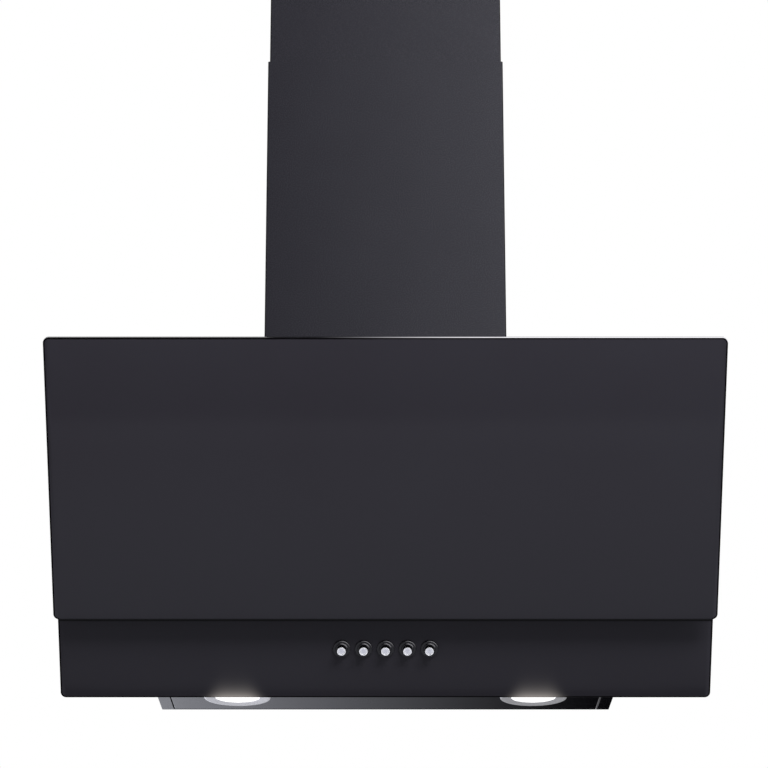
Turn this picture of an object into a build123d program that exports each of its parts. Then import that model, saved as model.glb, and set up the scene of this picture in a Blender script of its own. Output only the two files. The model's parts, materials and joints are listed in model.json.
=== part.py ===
from build123d import *
import math
import os

# Wall-hung angled range hood with a telescopic chimney.
# Frame: the wall is the plane Y = 0, the front looks along -Y, +Z is up and X = 0 is the middle.
# The origin lies on the wall, in the middle of the four wall screws. Lengths in mm, angles in degrees.

# The two glass planes
lean = 30.98               # both planes lean out over the hob, from the vertical
screw_level = 150.0        # wall screws' middle above the slope's foot, where s and n are 0
front_reach = 91.7         # wall to the slope's foot, on the control glass's face
glass_sheet = 4.0
glass_corner = 5.0
glass_bevel = 0.6
panel_width = 598.0
panel_start = 82.0         # up the slope from its foot
panel_over = 17.8          # glass beyond the housing's top, up the slope
panel_stand = 17.45        # panel's face in front of the control glass's face
control_width = 594.5
control_length = 105.0
control_over = 1.0         # glass below the slope's foot

# Housing of folded steel
body_width = 425.0
body_height = 282.0        # top above the slope's foot
body_sheet = 1.0
bottom_flange = 11.1       # folded in along each side, beside the lamp plate
under_tilt = 5.43          # the lamp plate falls towards the wall
under_rise = 0.8           # lamp plate's rear edge above the slope's foot
under_lip = 6.0            # housing's front lip under the body
seam = 0.4                 # clearance round plates that lie flush
plate_seam = 1.0           # open joint between lamp plate and flanges
plate_round = 0.8          # lamp plate's bent edges
seat_gap = 0.3             # clearance of a part lying on a stop
back_sheet = 1.2
wall_hole_x = 300.0
wall_hole_z = 160.0
wall_hole_r = 4.2
fold = 10.0                # depth of a folded stiffening edge

# Carrier behind the control glass
carrier_sheet = 1.0
carrier_inset = 4.0
carrier_fold = 8.0

# Buttons
button_count = 5
button_pitch = 20.0
button_level = 47.2        # up the slope
cap_r = 3.95
cap_face = 8.0             # cap's face in front of the control glass
cap_back = 4.0             # cap's rear end behind it
cap_gap = 2.0              # pressed cap to its guide
dish_r = 3.2
dish_depth = 0.7
stem_r = 1.8
stem_length = 20.0
stem_gap = 1.0             # pressed stem to the end of its guide
running_gap = 0.06         # radial, a round part that slides or turns in its guide
travel = 3.5
collar_r = 7.9
collar_step_r = 5.6
collar_rim = 2.0
collar_height = 3.2
collar_round = 0.4         # edges of rim and step
collar_barrel_r = 5.8
collar_barrel = 8.0
fit_gap = 0.2              # a fixed part in its hole
bank_height = 26.0
bank_depth = 24.0
bank_face = 14.0           # switch bank's face behind the control glass's face
bank_margin = 16.0         # beyond the outer buttons
bank_corner = 2.0
bank_post_r = 5.2
guide_r = 3.6
lug_width = 12.0
lug_sheet = 2.0

# Lamps
lamp_x = 138.1
lamp_reach = 50.7          # forward from the wall, along the lamp plate
lamp_rim_r = 31.0
lamp_rim = 1.4
lamp_rim_round = 1.0       # its outer edge
lamp_band_r = 28.5         # from here the rim slopes in to the lens
lamp_mouth = 0.45          # rim's height beside the lens
lamp_barrel_r = 28.6
lamp_barrel = 11.0
lamp_barrel_wall = 2.4
lens_r = 20.6
lens_sheet = 2.0
lens_stand = 0.35          # lens's face in front of the lamp plate
module_height = 21.0
module_step = 2.0          # the broad part ends this far inside the rim's barrel
fin_count = 4
fin_sheet = 1.6
fin_pitch = 3.4
core_r = 15.0
clip_width = 8.0
clip_sheet = 3.0
clip_height = 8.0

# Front panel: steel tray behind the glass, on two hinges
tray_sheet = 1.0
tray_depth = 6.0
tray_margin = 15.0         # glass beyond the tray at the sides and below
tray_drop = 13.7           # glass beyond the tray above
bead_width = 5.0
bead_depth = 1.5
hinge_drop = 4.9           # hinge axis below the housing's top, along the slope
hinge_stand = 4.5          # and in front of the control glass's face
hinge_x = 165.0
pin_r = 2.5
pin_head_r = 3.7
pin_head = 1.2
knuckle_r = 4.6
knuckle_half = 9.9
ear_gap = 0.3
ear_sheet = 2.0
ear_r = 5.5
plate_sheet = 2.0
plate_corner = 2.0
hinge_plate_half = 22.0
hinge_plate_length = 24.0
hinge_plate_edge = 1.0     # plate below the housing's top edge
hinge_screw_edge = 5.0     # screw to the plate's side edge
arm_sheet = 1.5
arm_length = 34.0
bumper_r = 6.0
bumper_x = 200.0
bumper_s = 112.0
magnet_x = 175.0
magnet_r = 7.0
magnet_cup = 4.0
magnet_rim = 1.0           # post's rim round the magnet

# Grease filter and its latch
filter_start = 118.0       # lower edge, up the slope
filter_drop = 33.9         # upper edge below the housing's top, along the slope
filter_width = 380.0
filter_depth = 9.0
filter_rim = 10.0
filter_gap = 1.0
filter_sheet = 1.0
rail_sheet = 1.0
rail_width = 12.0
mesh_columns = 18
mesh_rows = 7
mesh_bar = 4.5
mesh_sheet = 0.8
pleat_pitch = 12.0
pleat_sheet = 0.6
slider_half = 10.0
slider_sheet = 1.8
slider_lift = 0.15
slider_length = 26.0
slider_corner = 1.5
latch_travel = 6.0         # draws the tongue out of the keeper
tongue_over = 1.0          # tongue beyond the keeper
guide_wall = 5.0
guide_height = 5.0
guide_length = 23.0
guide_corner = 2.0
tab_half = 6.0
tab_sheet = 2.0
tab_height = 8.5
keeper_wall = 3.0
keeper_sheet = 1.2

# Blower
wheel_y = -85.0
wheel_drop = 110.0         # wheel's axis below the housing's top
wheel_r = 56.0
blade_inner_r = 47.0
wheel_half = 44.0
blade_count = 30
blade_sheet = 1.0
blade_sweep = 7.0          # degrees that a blade's outer end leads its inner end
blade_mid_sweep = 1.4      # and its middle
ring_sheet = 2.0
hub_r = 10.0
hub_half = 7.0
shaft_r = 4.0
scroll_r = 62.0            # first quarter of the spiral
scroll_shift = 2.0         # its centre is moved this far towards the wall and down
scroll_step = 4.5          # growth of each quarter
scroll_half = 50.0
scroll_sheet = 1.2
tongue_angle = 20.0
neck_flange = 10.0
inlet_r = 44.0
inlet_flange_r = 54.0
inlet_sheet = 1.5
inlet_lip = 3.5            # mouth's edge inside the side plate
inlet_mouth_r = 39.5
motor_r = 30.0
motor_start = 9.0
motor_end = 62.0
motor_collar_r = 11.0
arm_width = 8.0
arm_depth = 4.0
arm_count = 3
arm_foot_r = 59.0
foot_r = 4.5
motor_ring = 4.0           # wall of the bracket's ring round the motor
motor_gap = 1.0            # shaft's end in the motor

# Outlet collar and its two non-return flaps
duct_r = 59.5
collar_wall = 2.0
collar_y = -95.0
cone_height = 26.0
spigot_height = 46.0
base_margin = 11.0
base_sheet = 2.0
base_corner = 3.0
throat_corner = 8.0
flap_level = 11.0          # hinge pins above the spigot's start
flap_offset = 4.0
flap_sheet = 1.2
flap_gap = 1.3
flap_pin_r = 1.5
flap_knuckle_r = 2.6
flap_knuckle_half = 45.0
ledge_width = 4.5
ledge_sheet = 1.5

# Chimney
chimney_width = 221.8
chimney_depth = 180.0
chimney_sheet = 0.8
lower_length = 307.0
chimney_fold = 12.0
chimney_corner = 1.4
chimney_gap = 0.8          # between the sections, each side
upper_length = 300.0
upper_shown = 110.0        # upper section above the lower one
slot_length = 55.0
slot_height = 5.0
slot_rows = 6
slot_pitch = 10.0
slot_drop = 44.0           # first row below the upper section's top
angle_leg = 20.0
angle_sheet = 1.5
angle_depth = 30.0
angle_screw_rise = 12.0
bracket_height = 24.0
bracket_drop = 3.0         # bracket's top below the upper section's top
bracket_ear = 22.0
bracket_screw_depth = 13.2 # in the ear, from the strip's back
bracket_hole_x = 160.0
bracket_hole_r = 3.0
boss_r = 8.0

# Electrical parts on the back panel
box_width = 76.0
box_height = 44.0
box_depth = 26.0
box_corner = 3.0
box_x = 152.0
box_level = 105.0
lid_sheet = 2.0
capacitor_r = 15.0
capacitor_length = 52.0
gland_r = 8.0
gland_nut_r = 12.0
gland_nut = 6.0
gland_height = 16.0
gland_bore_r = 4.0
gland_x = 82.0
gland_y = -24.0

# Screws
screw_r = 2.0
screw_head_r = 3.8
screw_head = 2.2
screw_gap = 0.1
screw_length = 8.0

lean_sin = math.sin(math.radians(lean))
lean_cos = math.cos(math.radians(lean))
tilt_sin = math.sin(math.radians(under_tilt))
tilt_cos = math.cos(math.radians(under_tilt))
tilt_tan = tilt_sin / tilt_cos
base_z = -screw_level
top_z = base_z + body_height
seat = glass_sheet + carrier_sheet         # housing's front face behind the control glass's face
inner_face = seat + body_sheet
half_body = body_width / 2

# Local x is X, local y runs up the slope (s) and local z comes out of the glass (n).
slope = Plane(origin=(0, -front_reach, base_z), x_dir=(1, 0, 0), z_dir=(0, -lean_cos, -lean_sin))
# Local y runs forward from the wall and local z points out of the lamp plate, down to the hob.
under = Plane(origin=(0, 0, base_z + under_rise), x_dir=(1, 0, 0), z_dir=(0, -tilt_sin, -tilt_cos))


def cross(x):
    """The plane at X = x whose local coordinates are (s, n)."""
    return Plane(origin=(x, -front_reach, base_z), x_dir=(0, -lean_sin, lean_cos), z_dir=(1, 0, 0))


def slope_point(s, n):
    """(Y, Z) of a point that lies s up the slope and n out of the control glass."""
    return (-front_reach - lean_sin * s - lean_cos * n, base_z + lean_cos * s - lean_sin * n)


def save(part, name):
    part.label = name
    export_step(part, f"parts/{name}.step")


os.makedirs("parts", exist_ok=True)

# Where the housing's front face meets the lamp plate and the top
front_low_s = (under_rise + tilt_tan * (front_reach - lean_cos * seat) - lean_sin * seat) / (
    lean_cos - tilt_tan * lean_sin)
front_top_s = (body_height - lean_sin * seat) / lean_cos
front_low = slope_point(front_low_s, -seat)
front_top = slope_point(front_top_s, -seat)
under_front = -front_low[0] / tilt_cos     # housing's lower front corner, along the lamp plate
panel_end = front_top_s + panel_over
panel_length = panel_end - panel_start
tray_end = panel_end - tray_drop
hinge_s = front_top_s - hinge_drop
hinge_screw_s = front_top_s - hinge_plate_edge - hinge_plate_length / 2
filter_end = front_top_s - filter_drop
filter_mid = (filter_start + filter_end) / 2
filter_length = filter_end - filter_start
button_xs = [(i - (button_count - 1) / 2) * button_pitch for i in range(button_count)]
button_span = button_xs[-1] - button_xs[0]
window_length = button_span + 4 * collar_barrel_r
window_width = 3 * collar_barrel_r
sides = {"left": -1, "right": 1}

# Blower spiral: three quarter arcs, each larger than the last, then a straight neck up to the outlet.
wheel_z = top_z - wheel_drop
spiral_y = wheel_y + scroll_shift
spiral_z = wheel_z - scroll_shift
arc_centres = [(spiral_y, spiral_z), (spiral_y - scroll_step, spiral_z),
               (spiral_y - scroll_step, spiral_z + scroll_step)]
neck_front = arc_centres[2][0] - scroll_r - 2 * scroll_step
tongue_y = arc_centres[0][0] + scroll_r * math.sin(math.radians(tongue_angle))
neck_top = top_z - body_sheet
neck_mid = (neck_front + tongue_y) / 2
neck_depth = tongue_y - neck_front
collar_base_z = top_z + base_sheet
spigot_z = collar_base_z + cone_height
flap_z = spigot_z + flap_level

plate_near = back_sheet + seam + fold * tilt_sin
plate_far = under_front - under_lip - seam

with BuildPart() as housing_shell:
    with BuildSketch(Plane.YZ):
        Polygon((0, base_z + under_rise), front_low, front_top, (0, top_z), align=None)
    extrude(amount=half_body, both=True)
    offset(amount=-body_sheet, openings=housing_shell.faces().sort_by(Axis.Y)[-1],
           kind=Kind.INTERSECTION)
    # the lamp plate's place, between the side flanges, the front lip and a narrow lip under the back panel
    with BuildSketch(under.offset(body_sheet)):
        with Locations((0, (plate_near + plate_far) / 2)):
            Rectangle(body_width - 2 * bottom_flange, plate_far - plate_near + 2 * seam)
    extrude(amount=-3 * body_sheet, mode=Mode.SUBTRACT)
    # filter opening and the window for the switches
    with BuildSketch(slope.offset(body_sheet - seat)):
        with Locations((0, filter_mid)):
            Rectangle(filter_width + 2 * filter_gap, filter_length + 2 * filter_gap)
        with Locations((0, button_level)):
            SlotOverall(window_length, window_width)
    extrude(amount=-3 * body_sheet, mode=Mode.SUBTRACT)
    # air outlet, cable hole and the screws of the outlet collar in the top
    with BuildSketch(Plane.XY.offset(top_z - 2 * body_sheet)):
        with Locations((0, neck_mid)):
            Rectangle(2 * scroll_half, neck_depth)
            with GridLocations(2 * (scroll_half + base_margin / 2), neck_depth - base_margin, 2, 2):
                Circle(screw_r + screw_gap)
        with Locations((gland_x, gland_y)):
            Circle(gland_r + fit_gap)
    extrude(amount=3 * body_sheet, mode=Mode.SUBTRACT)
    # hinge screws
    with BuildSketch(slope.offset(body_sheet - seat)):
        for side in sides.values():
            with Locations((side * hinge_x, hinge_screw_s)):
                with GridLocations(2 * (hinge_plate_half - hinge_screw_edge), 1, 2, 1):
                    Circle(screw_r + screw_gap)
    extrude(amount=-3 * body_sheet, mode=Mode.SUBTRACT)
save(housing_shell.part, "housing_shell")

# Back panel with a folded rim, closed against the housing's edges
back_low = base_z + under_rise + body_sheet + seam
back_high = top_z - body_sheet - seam
with BuildPart() as back_panel:
    with BuildSketch(Plane.XZ):
        with Locations((0, (back_low + back_high) / 2)):
            Rectangle(body_width - 2 * (body_sheet + seam), back_high - back_low)
    extrude(amount=fold)
    offset(amount=-back_sheet, openings=back_panel.faces().sort_by(Axis.Y)[0], kind=Kind.INTERSECTION)
    with BuildSketch(Plane.XZ):
        with GridLocations(wall_hole_x, wall_hole_z, 2, 2):
            Circle(wall_hole_r)
    extrude(amount=back_sheet, mode=Mode.SUBTRACT)
    # the rim leaves room below for the lamp plate's rear fold
    with BuildSketch(Plane.XY.offset(back_low)):
        with Locations((0, -back_sheet - fold / 2)):
            Rectangle(body_width, fold)
    extrude(amount=back_sheet + fold, mode=Mode.SUBTRACT)
save(back_panel.part, "back_panel")

# Lamp plate: lies flush between the flanges, its edges folded up inside
with BuildPart() as lamp_plate:
    with BuildSketch(under):
        with Locations((0, (plate_near + plate_far) / 2)):
            Rectangle(body_width - 2 * (bottom_flange + plate_seam), plate_far - plate_near)
    extrude(amount=-fold)
    offset(amount=-body_sheet, openings=lamp_plate.faces().sort_by(Axis.Z)[-1], kind=Kind.INTERSECTION)
    fillet(lamp_plate.faces().sort_by(Axis.Z)[0].edges(), plate_round)
    with BuildSketch(under):
        with Locations((-lamp_x, lamp_reach), (lamp_x, lamp_reach)):
            Circle(lamp_barrel_r + fit_gap)
    extrude(amount=-body_sheet, mode=Mode.SUBTRACT)
save(lamp_plate.part, "lamp_plate")

# Control glass, bevelled along its front edge
control_mid = control_length / 2 - control_over
outward = Axis(slope.origin, slope.z_dir)
with BuildPart() as control_glass:
    with BuildSketch(slope.offset(-glass_sheet)):
        with Locations((0, control_mid)):
            RectangleRounded(control_width, control_length, glass_corner)
        with Locations([(x, button_level) for x in button_xs]):
            Circle(collar_barrel_r + fit_gap, mode=Mode.SUBTRACT)
    extrude(amount=glass_sheet)
    chamfer(control_glass.faces().sort_by(outward)[-1].outer_wire().edges(), glass_bevel)
save(control_glass.part, "control_glass")

# Steel carrier behind it: a flat strip over the housing and a folded wing on each side
carrier_width = control_width - 2 * carrier_inset
carrier_length = control_length - 2 * carrier_inset
wing_start = half_body + fit_gap
wing_width = carrier_width / 2 - wing_start
with BuildPart() as control_carrier:
    with BuildSketch(slope.offset(-glass_sheet)):
        with Locations((0, control_mid)):
            Rectangle(carrier_width, carrier_length)
        with Locations((0, button_level)):
            SlotOverall(window_length, window_width, mode=Mode.SUBTRACT)
    extrude(amount=-carrier_sheet)
    for side in sides.values():
        with BuildSketch(slope.offset(-glass_sheet - carrier_sheet)):
            with Locations((side * (wing_start + wing_width / 2), control_mid)):
                Rectangle(wing_width, carrier_length)
                Rectangle(wing_width - 2 * carrier_sheet, carrier_length - 2 * carrier_sheet,
                          mode=Mode.SUBTRACT)
        extrude(amount=-carrier_fold)
save(control_carrier.part, "control_carrier")

# Stepped collars, each with a barrel through the glass
with BuildPart() as button_collars:
    for radius, start, end in ((collar_r, 0, collar_rim),
                               (collar_step_r, collar_rim, collar_height),
                               (collar_barrel_r, -collar_barrel, 0)):
        with BuildSketch(slope.offset(start)):
            with Locations([(x, button_level) for x in button_xs]):
                Circle(radius)
        extrude(amount=end - start)
        if start >= 0:
            fillet(button_collars.faces().group_by(outward)[-1].edges(), collar_round)
    with BuildSketch(slope.offset(-collar_barrel)):
        with Locations([(x, button_level) for x in button_xs]):
            Circle(cap_r + running_gap)
    extrude(amount=collar_barrel + collar_height, mode=Mode.SUBTRACT)
save(button_collars.part, "button_collars")

# Push buttons: a dished cap on a stem that runs back into the switch bank
dish_sphere_r = (dish_r ** 2 + dish_depth ** 2) / (2 * dish_depth)
for number, x in enumerate(button_xs, start=1):
    with BuildPart() as button:
        with BuildSketch(slope.offset(-cap_back)):
            with Locations((x, button_level)):
                Circle(cap_r)
        extrude(amount=cap_back + cap_face)
        fillet(button.faces().sort_by(outward)[-1].edges(), (cap_r - dish_r) / 2)
        with BuildSketch(slope.offset(-cap_back)):
            with Locations((x, button_level)):
                Circle(stem_r)
        extrude(amount=-stem_length)
        with Locations(slope.offset(cap_face - dish_depth + dish_sphere_r) * Location((x, button_level, 0))):
            Sphere(dish_sphere_r, mode=Mode.SUBTRACT)
    save(button.part, f"button_{number}")

# Switch bank: one closed unit with a guide for each stem, on two lugs behind the housing's face
bank_width = button_span + 2 * bank_margin
with BuildPart() as switch_bank:
    with BuildSketch(slope.offset(-bank_face)):
        with Locations((0, button_level)):
            RectangleRounded(bank_width, bank_height, bank_corner)
    extrude(amount=-bank_depth)
    with BuildSketch(slope.offset(-bank_face)):
        with Locations([(x, button_level) for x in button_xs]):
            Circle(guide_r)
    extrude(amount=bank_face - cap_back - travel - cap_gap)
    with BuildSketch(slope.offset(-bank_face)):
        with Locations((0, button_level)):
            Rectangle(bank_width + 2 * lug_width, bank_height / 2)
    extrude(amount=-lug_sheet)
    with BuildSketch(slope.offset(-bank_face)):
        with Locations((0, button_level)):
            with GridLocations(bank_width + lug_width, 1, 2, 1):
                Circle(bank_post_r)
    extrude(amount=bank_face - inner_face)
    with BuildSketch(slope):
        with Locations([(x, button_level) for x in button_xs]):
            Circle(stem_r + running_gap)
    extrude(amount=-cap_back - stem_length - travel - stem_gap, mode=Mode.SUBTRACT)
save(switch_bank.part, "switch_bank")

# Lamps: rim, lens and heat-sinked module in each hole of the lamp plate
core_start = lamp_barrel - module_step
for side, sign in sides.items():
    place = (sign * lamp_x, lamp_reach)
    centre = under.from_local_coords((*place, 0))
    with BuildPart() as lamp_ring:
        # local x is the radius, local y comes out of the lamp plate
        with BuildSketch(Plane(origin=centre, x_dir=(1, 0, 0), z_dir=Vector(1, 0, 0).cross(under.z_dir))) as profile:
            Polygon((lens_r + fit_gap, 0), (lens_r + fit_gap, lamp_mouth), (lamp_band_r, lamp_rim),
                    (lamp_rim_r, lamp_rim), (lamp_rim_r, 0), (lamp_barrel_r, 0), (lamp_barrel_r, -lamp_barrel),
                    (lamp_barrel_r - lamp_barrel_wall, -lamp_barrel), (lamp_barrel_r - lamp_barrel_wall, 0),
                    align=None)
            fillet(profile.vertices().group_by(Axis.X)[-1].sort_by(Axis.Y)[-1], lamp_rim_round)
        revolve(axis=Axis(centre, under.z_dir))
    save(lamp_ring.part, f"lamp_ring_{side}")

    with BuildPart() as lamp_lens:
        with BuildSketch(under):
            with Locations(place):
                Circle(lamp_barrel_r - lamp_barrel_wall - fit_gap)
        extrude(amount=-lens_sheet)
        with BuildSketch(under):
            with Locations(place):
                Circle(lens_r)
        extrude(amount=lens_stand)
    save(lamp_lens.part, f"lamp_lens_{side}")

    with BuildPart() as lamp_module:
        with BuildSketch(under.offset(-lens_sheet)):
            with Locations(place):
                Circle(lamp_barrel_r - lamp_barrel_wall - fit_gap)
        extrude(amount=-core_start)
        with BuildSketch(under.offset(-lens_sheet - core_start)):
            with Locations(place):
                Circle(core_r)
        extrude(amount=lens_sheet + core_start - module_height - fin_sheet)
        for fin in range(fin_count):
            with BuildSketch(under.offset(-module_height + fin * fin_pitch)):
                with Locations(place):
                    Circle(lamp_barrel_r - lamp_barrel_wall - fit_gap)
            extrude(amount=-fin_sheet)
    save(lamp_module.part, f"lamp_module_{side}")

with BuildPart() as lamp_clips:
    for sign in sides.values():
        with BuildSketch(under.offset(-body_sheet)):
            with Locations((sign * lamp_x, lamp_reach)):
                with GridLocations(2 * lamp_barrel_r + clip_sheet, 1, 2, 1):
                    Rectangle(clip_sheet, clip_width)
                Circle(lamp_barrel_r, mode=Mode.SUBTRACT)
        extrude(amount=-clip_height)
save(lamp_clips.part, "lamp_clips")

# Front panel: bevelled glass on a folded steel tray
panel_mid = panel_start + panel_length / 2
glass_back = panel_stand - glass_sheet
tray_start = panel_start + tray_margin
tray_mid = (tray_start + tray_end) / 2
tray_width = panel_width - 2 * tray_margin
with BuildPart() as front_glass:
    with BuildSketch(slope.offset(glass_back)):
        with Locations((0, panel_mid)):
            RectangleRounded(panel_width, panel_length, glass_corner)
    extrude(amount=glass_sheet)
    chamfer(front_glass.faces().sort_by(outward)[-1].outer_wire().edges(), glass_bevel)
save(front_glass.part, "front_glass")

with BuildPart() as panel_tray:
    with BuildSketch(slope.offset(glass_back)):
        with Locations((0, tray_mid)):
            RectangleRounded(tray_width, tray_end - tray_start, glass_corner)
    extrude(amount=-tray_depth)
    offset(amount=-tray_sheet, openings=panel_tray.faces().sort_by(outward)[0], kind=Kind.INTERSECTION)
    # two pressed beads stiffen the tray between the bumpers and the hinges
    with BuildSketch(slope.offset(glass_back - tray_sheet)):
        with Locations((0, tray_mid)):
            with GridLocations(1, (tray_end - tray_start) / 2, 1, 2):
                SlotOverall(2 * hinge_x - arm_length, bead_width)
    extrude(amount=-bead_depth)
save(panel_tray.part, "panel_tray")
tray_back = glass_back - tray_sheet

# Hinges: a bracket with two ears on the housing, a knuckled arm on the tray, and a pin
for side, sign in sides.items():
    x = sign * hinge_x
    with BuildPart() as hinge_bracket:
        with BuildSketch(slope.offset(-seat)):
            with Locations((x, hinge_screw_s)):
                RectangleRounded(2 * hinge_plate_half, hinge_plate_length, plate_corner)
        extrude(amount=plate_sheet)
        for ear_x in (x - knuckle_half - ear_gap - ear_sheet, x + knuckle_half + ear_gap):
            with BuildSketch(cross(ear_x)):
                with Locations((hinge_s, hinge_stand)):
                    Circle(ear_r)
                with Locations((hinge_s - ear_r / 2, (hinge_stand - seat) / 2)):
                    Rectangle(3 * ear_r, hinge_stand + seat)
                with Locations((hinge_s, hinge_stand)):
                    Circle(pin_r + running_gap, mode=Mode.SUBTRACT)
            extrude(amount=ear_sheet)
        with BuildSketch(slope.offset(-seat)):
            with Locations((x, hinge_screw_s)):
                with GridLocations(2 * (hinge_plate_half - hinge_screw_edge), 1, 2, 1):
                    Circle(screw_r + screw_gap)
        extrude(amount=plate_sheet, mode=Mode.SUBTRACT)
    save(hinge_bracket.part, f"hinge_bracket_{side}")

    with BuildPart() as hinge_arm:
        with BuildSketch(slope.offset(tray_back)):
            with Locations((x, hinge_s + knuckle_r - arm_length / 2)):
                RectangleRounded(2 * knuckle_half, arm_length, plate_corner)
        extrude(amount=-arm_sheet)
        with BuildSketch(cross(x - knuckle_half)):
            with Locations((hinge_s, hinge_stand)):
                Circle(knuckle_r)
            with Locations((hinge_s, (hinge_stand + tray_back) / 2)):
                Rectangle(2 * knuckle_r, tray_back - hinge_stand)
            with Locations((hinge_s, hinge_stand)):
                Circle(pin_r + running_gap, mode=Mode.SUBTRACT)
        extrude(amount=2 * knuckle_half)
    save(hinge_arm.part, f"hinge_arm_{side}")

pin_half = knuckle_half + ear_gap + ear_sheet
with BuildPart() as hinge_pins:
    for sign in sides.values():
        with BuildSketch(cross(sign * hinge_x - pin_half)):
            with Locations((hinge_s, hinge_stand)):
                Circle(pin_r)
        extrude(amount=2 * pin_half)
        for start, reach in ((-pin_half, -pin_head), (pin_half, pin_head)):
            with BuildSketch(cross(sign * hinge_x + start)):
                with Locations((hinge_s, hinge_stand)):
                    Circle(pin_head_r)
            extrude(amount=reach)
save(hinge_pins.part, "hinge_pins")


def posts(start, height, radius, x, dome):
    """Two round posts at X = -x and +x that rise from start, with domed ends."""
    with BuildPart() as pair:
        with BuildSketch(slope.offset(start)):
            with Locations((-x, bumper_s), (x, bumper_s)):
                Circle(radius)
        extrude(amount=height)
        fillet(pair.faces().group_by(outward)[-1].edges(), dome)
    return pair.part


# Stops for the closed panel: rubber bumpers and magnets on plastic posts
stop_height = tray_back + seat - seat_gap
save(posts(-seat, stop_height, bumper_r, bumper_x, bumper_r / 3), "panel_bumpers")
save(posts(-seat, stop_height - magnet_cup, magnet_r, magnet_x, glass_bevel), "magnet_posts")
save(posts(stop_height - magnet_cup - seat, magnet_cup, magnet_r - magnet_rim, magnet_x, glass_bevel),
     "panel_magnets")

# Rails behind the filter opening: the filter's frame rests on them
rail_back = seat + filter_depth
opening_width = filter_width + 2 * filter_gap
opening_length = filter_length + 2 * filter_gap
with BuildPart() as filter_rails:
    with BuildSketch(slope.offset(-inner_face)):
        with Locations((0, filter_mid)):
            Rectangle(opening_width + 2 * rail_width, opening_length + 2 * rail_sheet)
            Rectangle(opening_width, opening_length, mode=Mode.SUBTRACT)
    extrude(amount=-rail_sheet)
    with BuildSketch(slope.offset(-inner_face)):
        with Locations((0, filter_mid)):
            Rectangle(opening_width + 2 * rail_sheet, opening_length + 2 * rail_sheet)
            Rectangle(opening_width, opening_length, mode=Mode.SUBTRACT)
    extrude(amount=inner_face - rail_back)
    with BuildSketch(slope.offset(-rail_back)):
        with Locations((0, filter_mid)):
            Rectangle(opening_width + 2 * rail_sheet, opening_length + 2 * rail_sheet)
            Rectangle(filter_width - filter_rim, filter_length - filter_rim, mode=Mode.SUBTRACT)
    extrude(amount=-rail_sheet)
save(filter_rails.part, "filter_rails")

# Filter frame: a folded channel that holds the edges of the meshes
with BuildPart() as filter_frame:
    with BuildSketch(slope.offset(-seat)):
        with Locations((0, filter_mid)):
            RectangleRounded(filter_width, filter_length, filter_rim / 2)
            Rectangle(filter_width - 2 * filter_rim, filter_length - 2 * filter_rim, mode=Mode.SUBTRACT)
    extrude(amount=-filter_depth)
    with BuildSketch(slope.offset(-seat - filter_sheet)):
        with Locations((0, filter_mid)):
            Rectangle(filter_width - 2 * filter_sheet, filter_length - 2 * filter_sheet)
    extrude(amount=2 * filter_sheet - filter_depth, mode=Mode.SUBTRACT)
save(filter_frame.part, "filter_frame")

mesh_width = filter_width - filter_rim
mesh_length = filter_length - filter_rim
column_pitch = mesh_width / mesh_columns
row_pitch = mesh_length / mesh_rows


def mesh_plate(start):
    """An expanded-metal face whose front lies at start: rows of diamond openings."""
    half_x = (column_pitch - mesh_bar / 2) / 2
    half_y = (row_pitch - mesh_bar / 2) / 2
    with BuildPart() as plate:
        with BuildSketch(slope.offset(start)):
            with Locations((0, filter_mid)):
                Rectangle(mesh_width, mesh_length)
                with GridLocations(column_pitch, row_pitch, mesh_columns, mesh_rows):
                    Polygon((-half_x, 0), (0, -half_y), (half_x, 0), (0, half_y), mode=Mode.SUBTRACT)
        extrude(amount=-mesh_sheet)
    return plate.part


mesh_front = -seat - filter_sheet
mesh_rear = -seat - filter_depth + filter_sheet + mesh_sheet
save(mesh_plate(mesh_front), "filter_mesh_front")
save(mesh_plate(mesh_rear), "filter_mesh_rear")

# Pleated layer between the two faces
pleat_top = mesh_front - mesh_sheet
pleat_bottom = mesh_rear
pleat_count = int(mesh_width // pleat_pitch)
pleat_start = -pleat_count * pleat_pitch / 2
pleat_line = [(pleat_start + i * pleat_pitch / 2, pleat_bottom if i % 2 else pleat_top - pleat_sheet)
              for i in range(2 * pleat_count + 1)]
# looks down the slope's own direction, so that local x is X and local y comes out of the glass
pleat_plane = Plane(origin=slope.from_local_coords((0, filter_mid - mesh_length / 2, 0)),
                    x_dir=(1, 0, 0), z_dir=-slope.y_dir)
with BuildPart() as filter_core:
    with BuildSketch(pleat_plane):
        Polygon(*pleat_line, *[(x, y + pleat_sheet) for x, y in reversed(pleat_line)], align=None)
    extrude(amount=-mesh_length)
save(filter_core.part, "filter_core")

# Latch: a slider in a guide on the filter's frame; its tongue hooks under a keeper on the housing
slider_low = filter_start - filter_gap - latch_travel
slider_front = slider_lift + slider_sheet - seat
guide_mid = filter_start + guide_length / 2
with BuildPart() as latch_guide:
    with BuildSketch(slope.offset(-seat)):
        with Locations((0, guide_mid)):
            RectangleRounded(2 * (slider_half + guide_wall), guide_length, guide_corner)
    extrude(amount=guide_height)
    with BuildSketch(slope.offset(-seat)):
        with Locations((0, guide_mid)):
            Rectangle(2 * (slider_half + fit_gap), guide_length)
    extrude(amount=slider_lift + slider_sheet + fit_gap, mode=Mode.SUBTRACT)
    with BuildSketch(slope.offset(-seat)):
        with Locations((0, guide_mid)):
            Rectangle(2 * (tab_half + seat_gap), guide_length - 2 * tab_sheet)
    extrude(amount=guide_height, mode=Mode.SUBTRACT)
save(latch_guide.part, "latch_guide")

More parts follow.
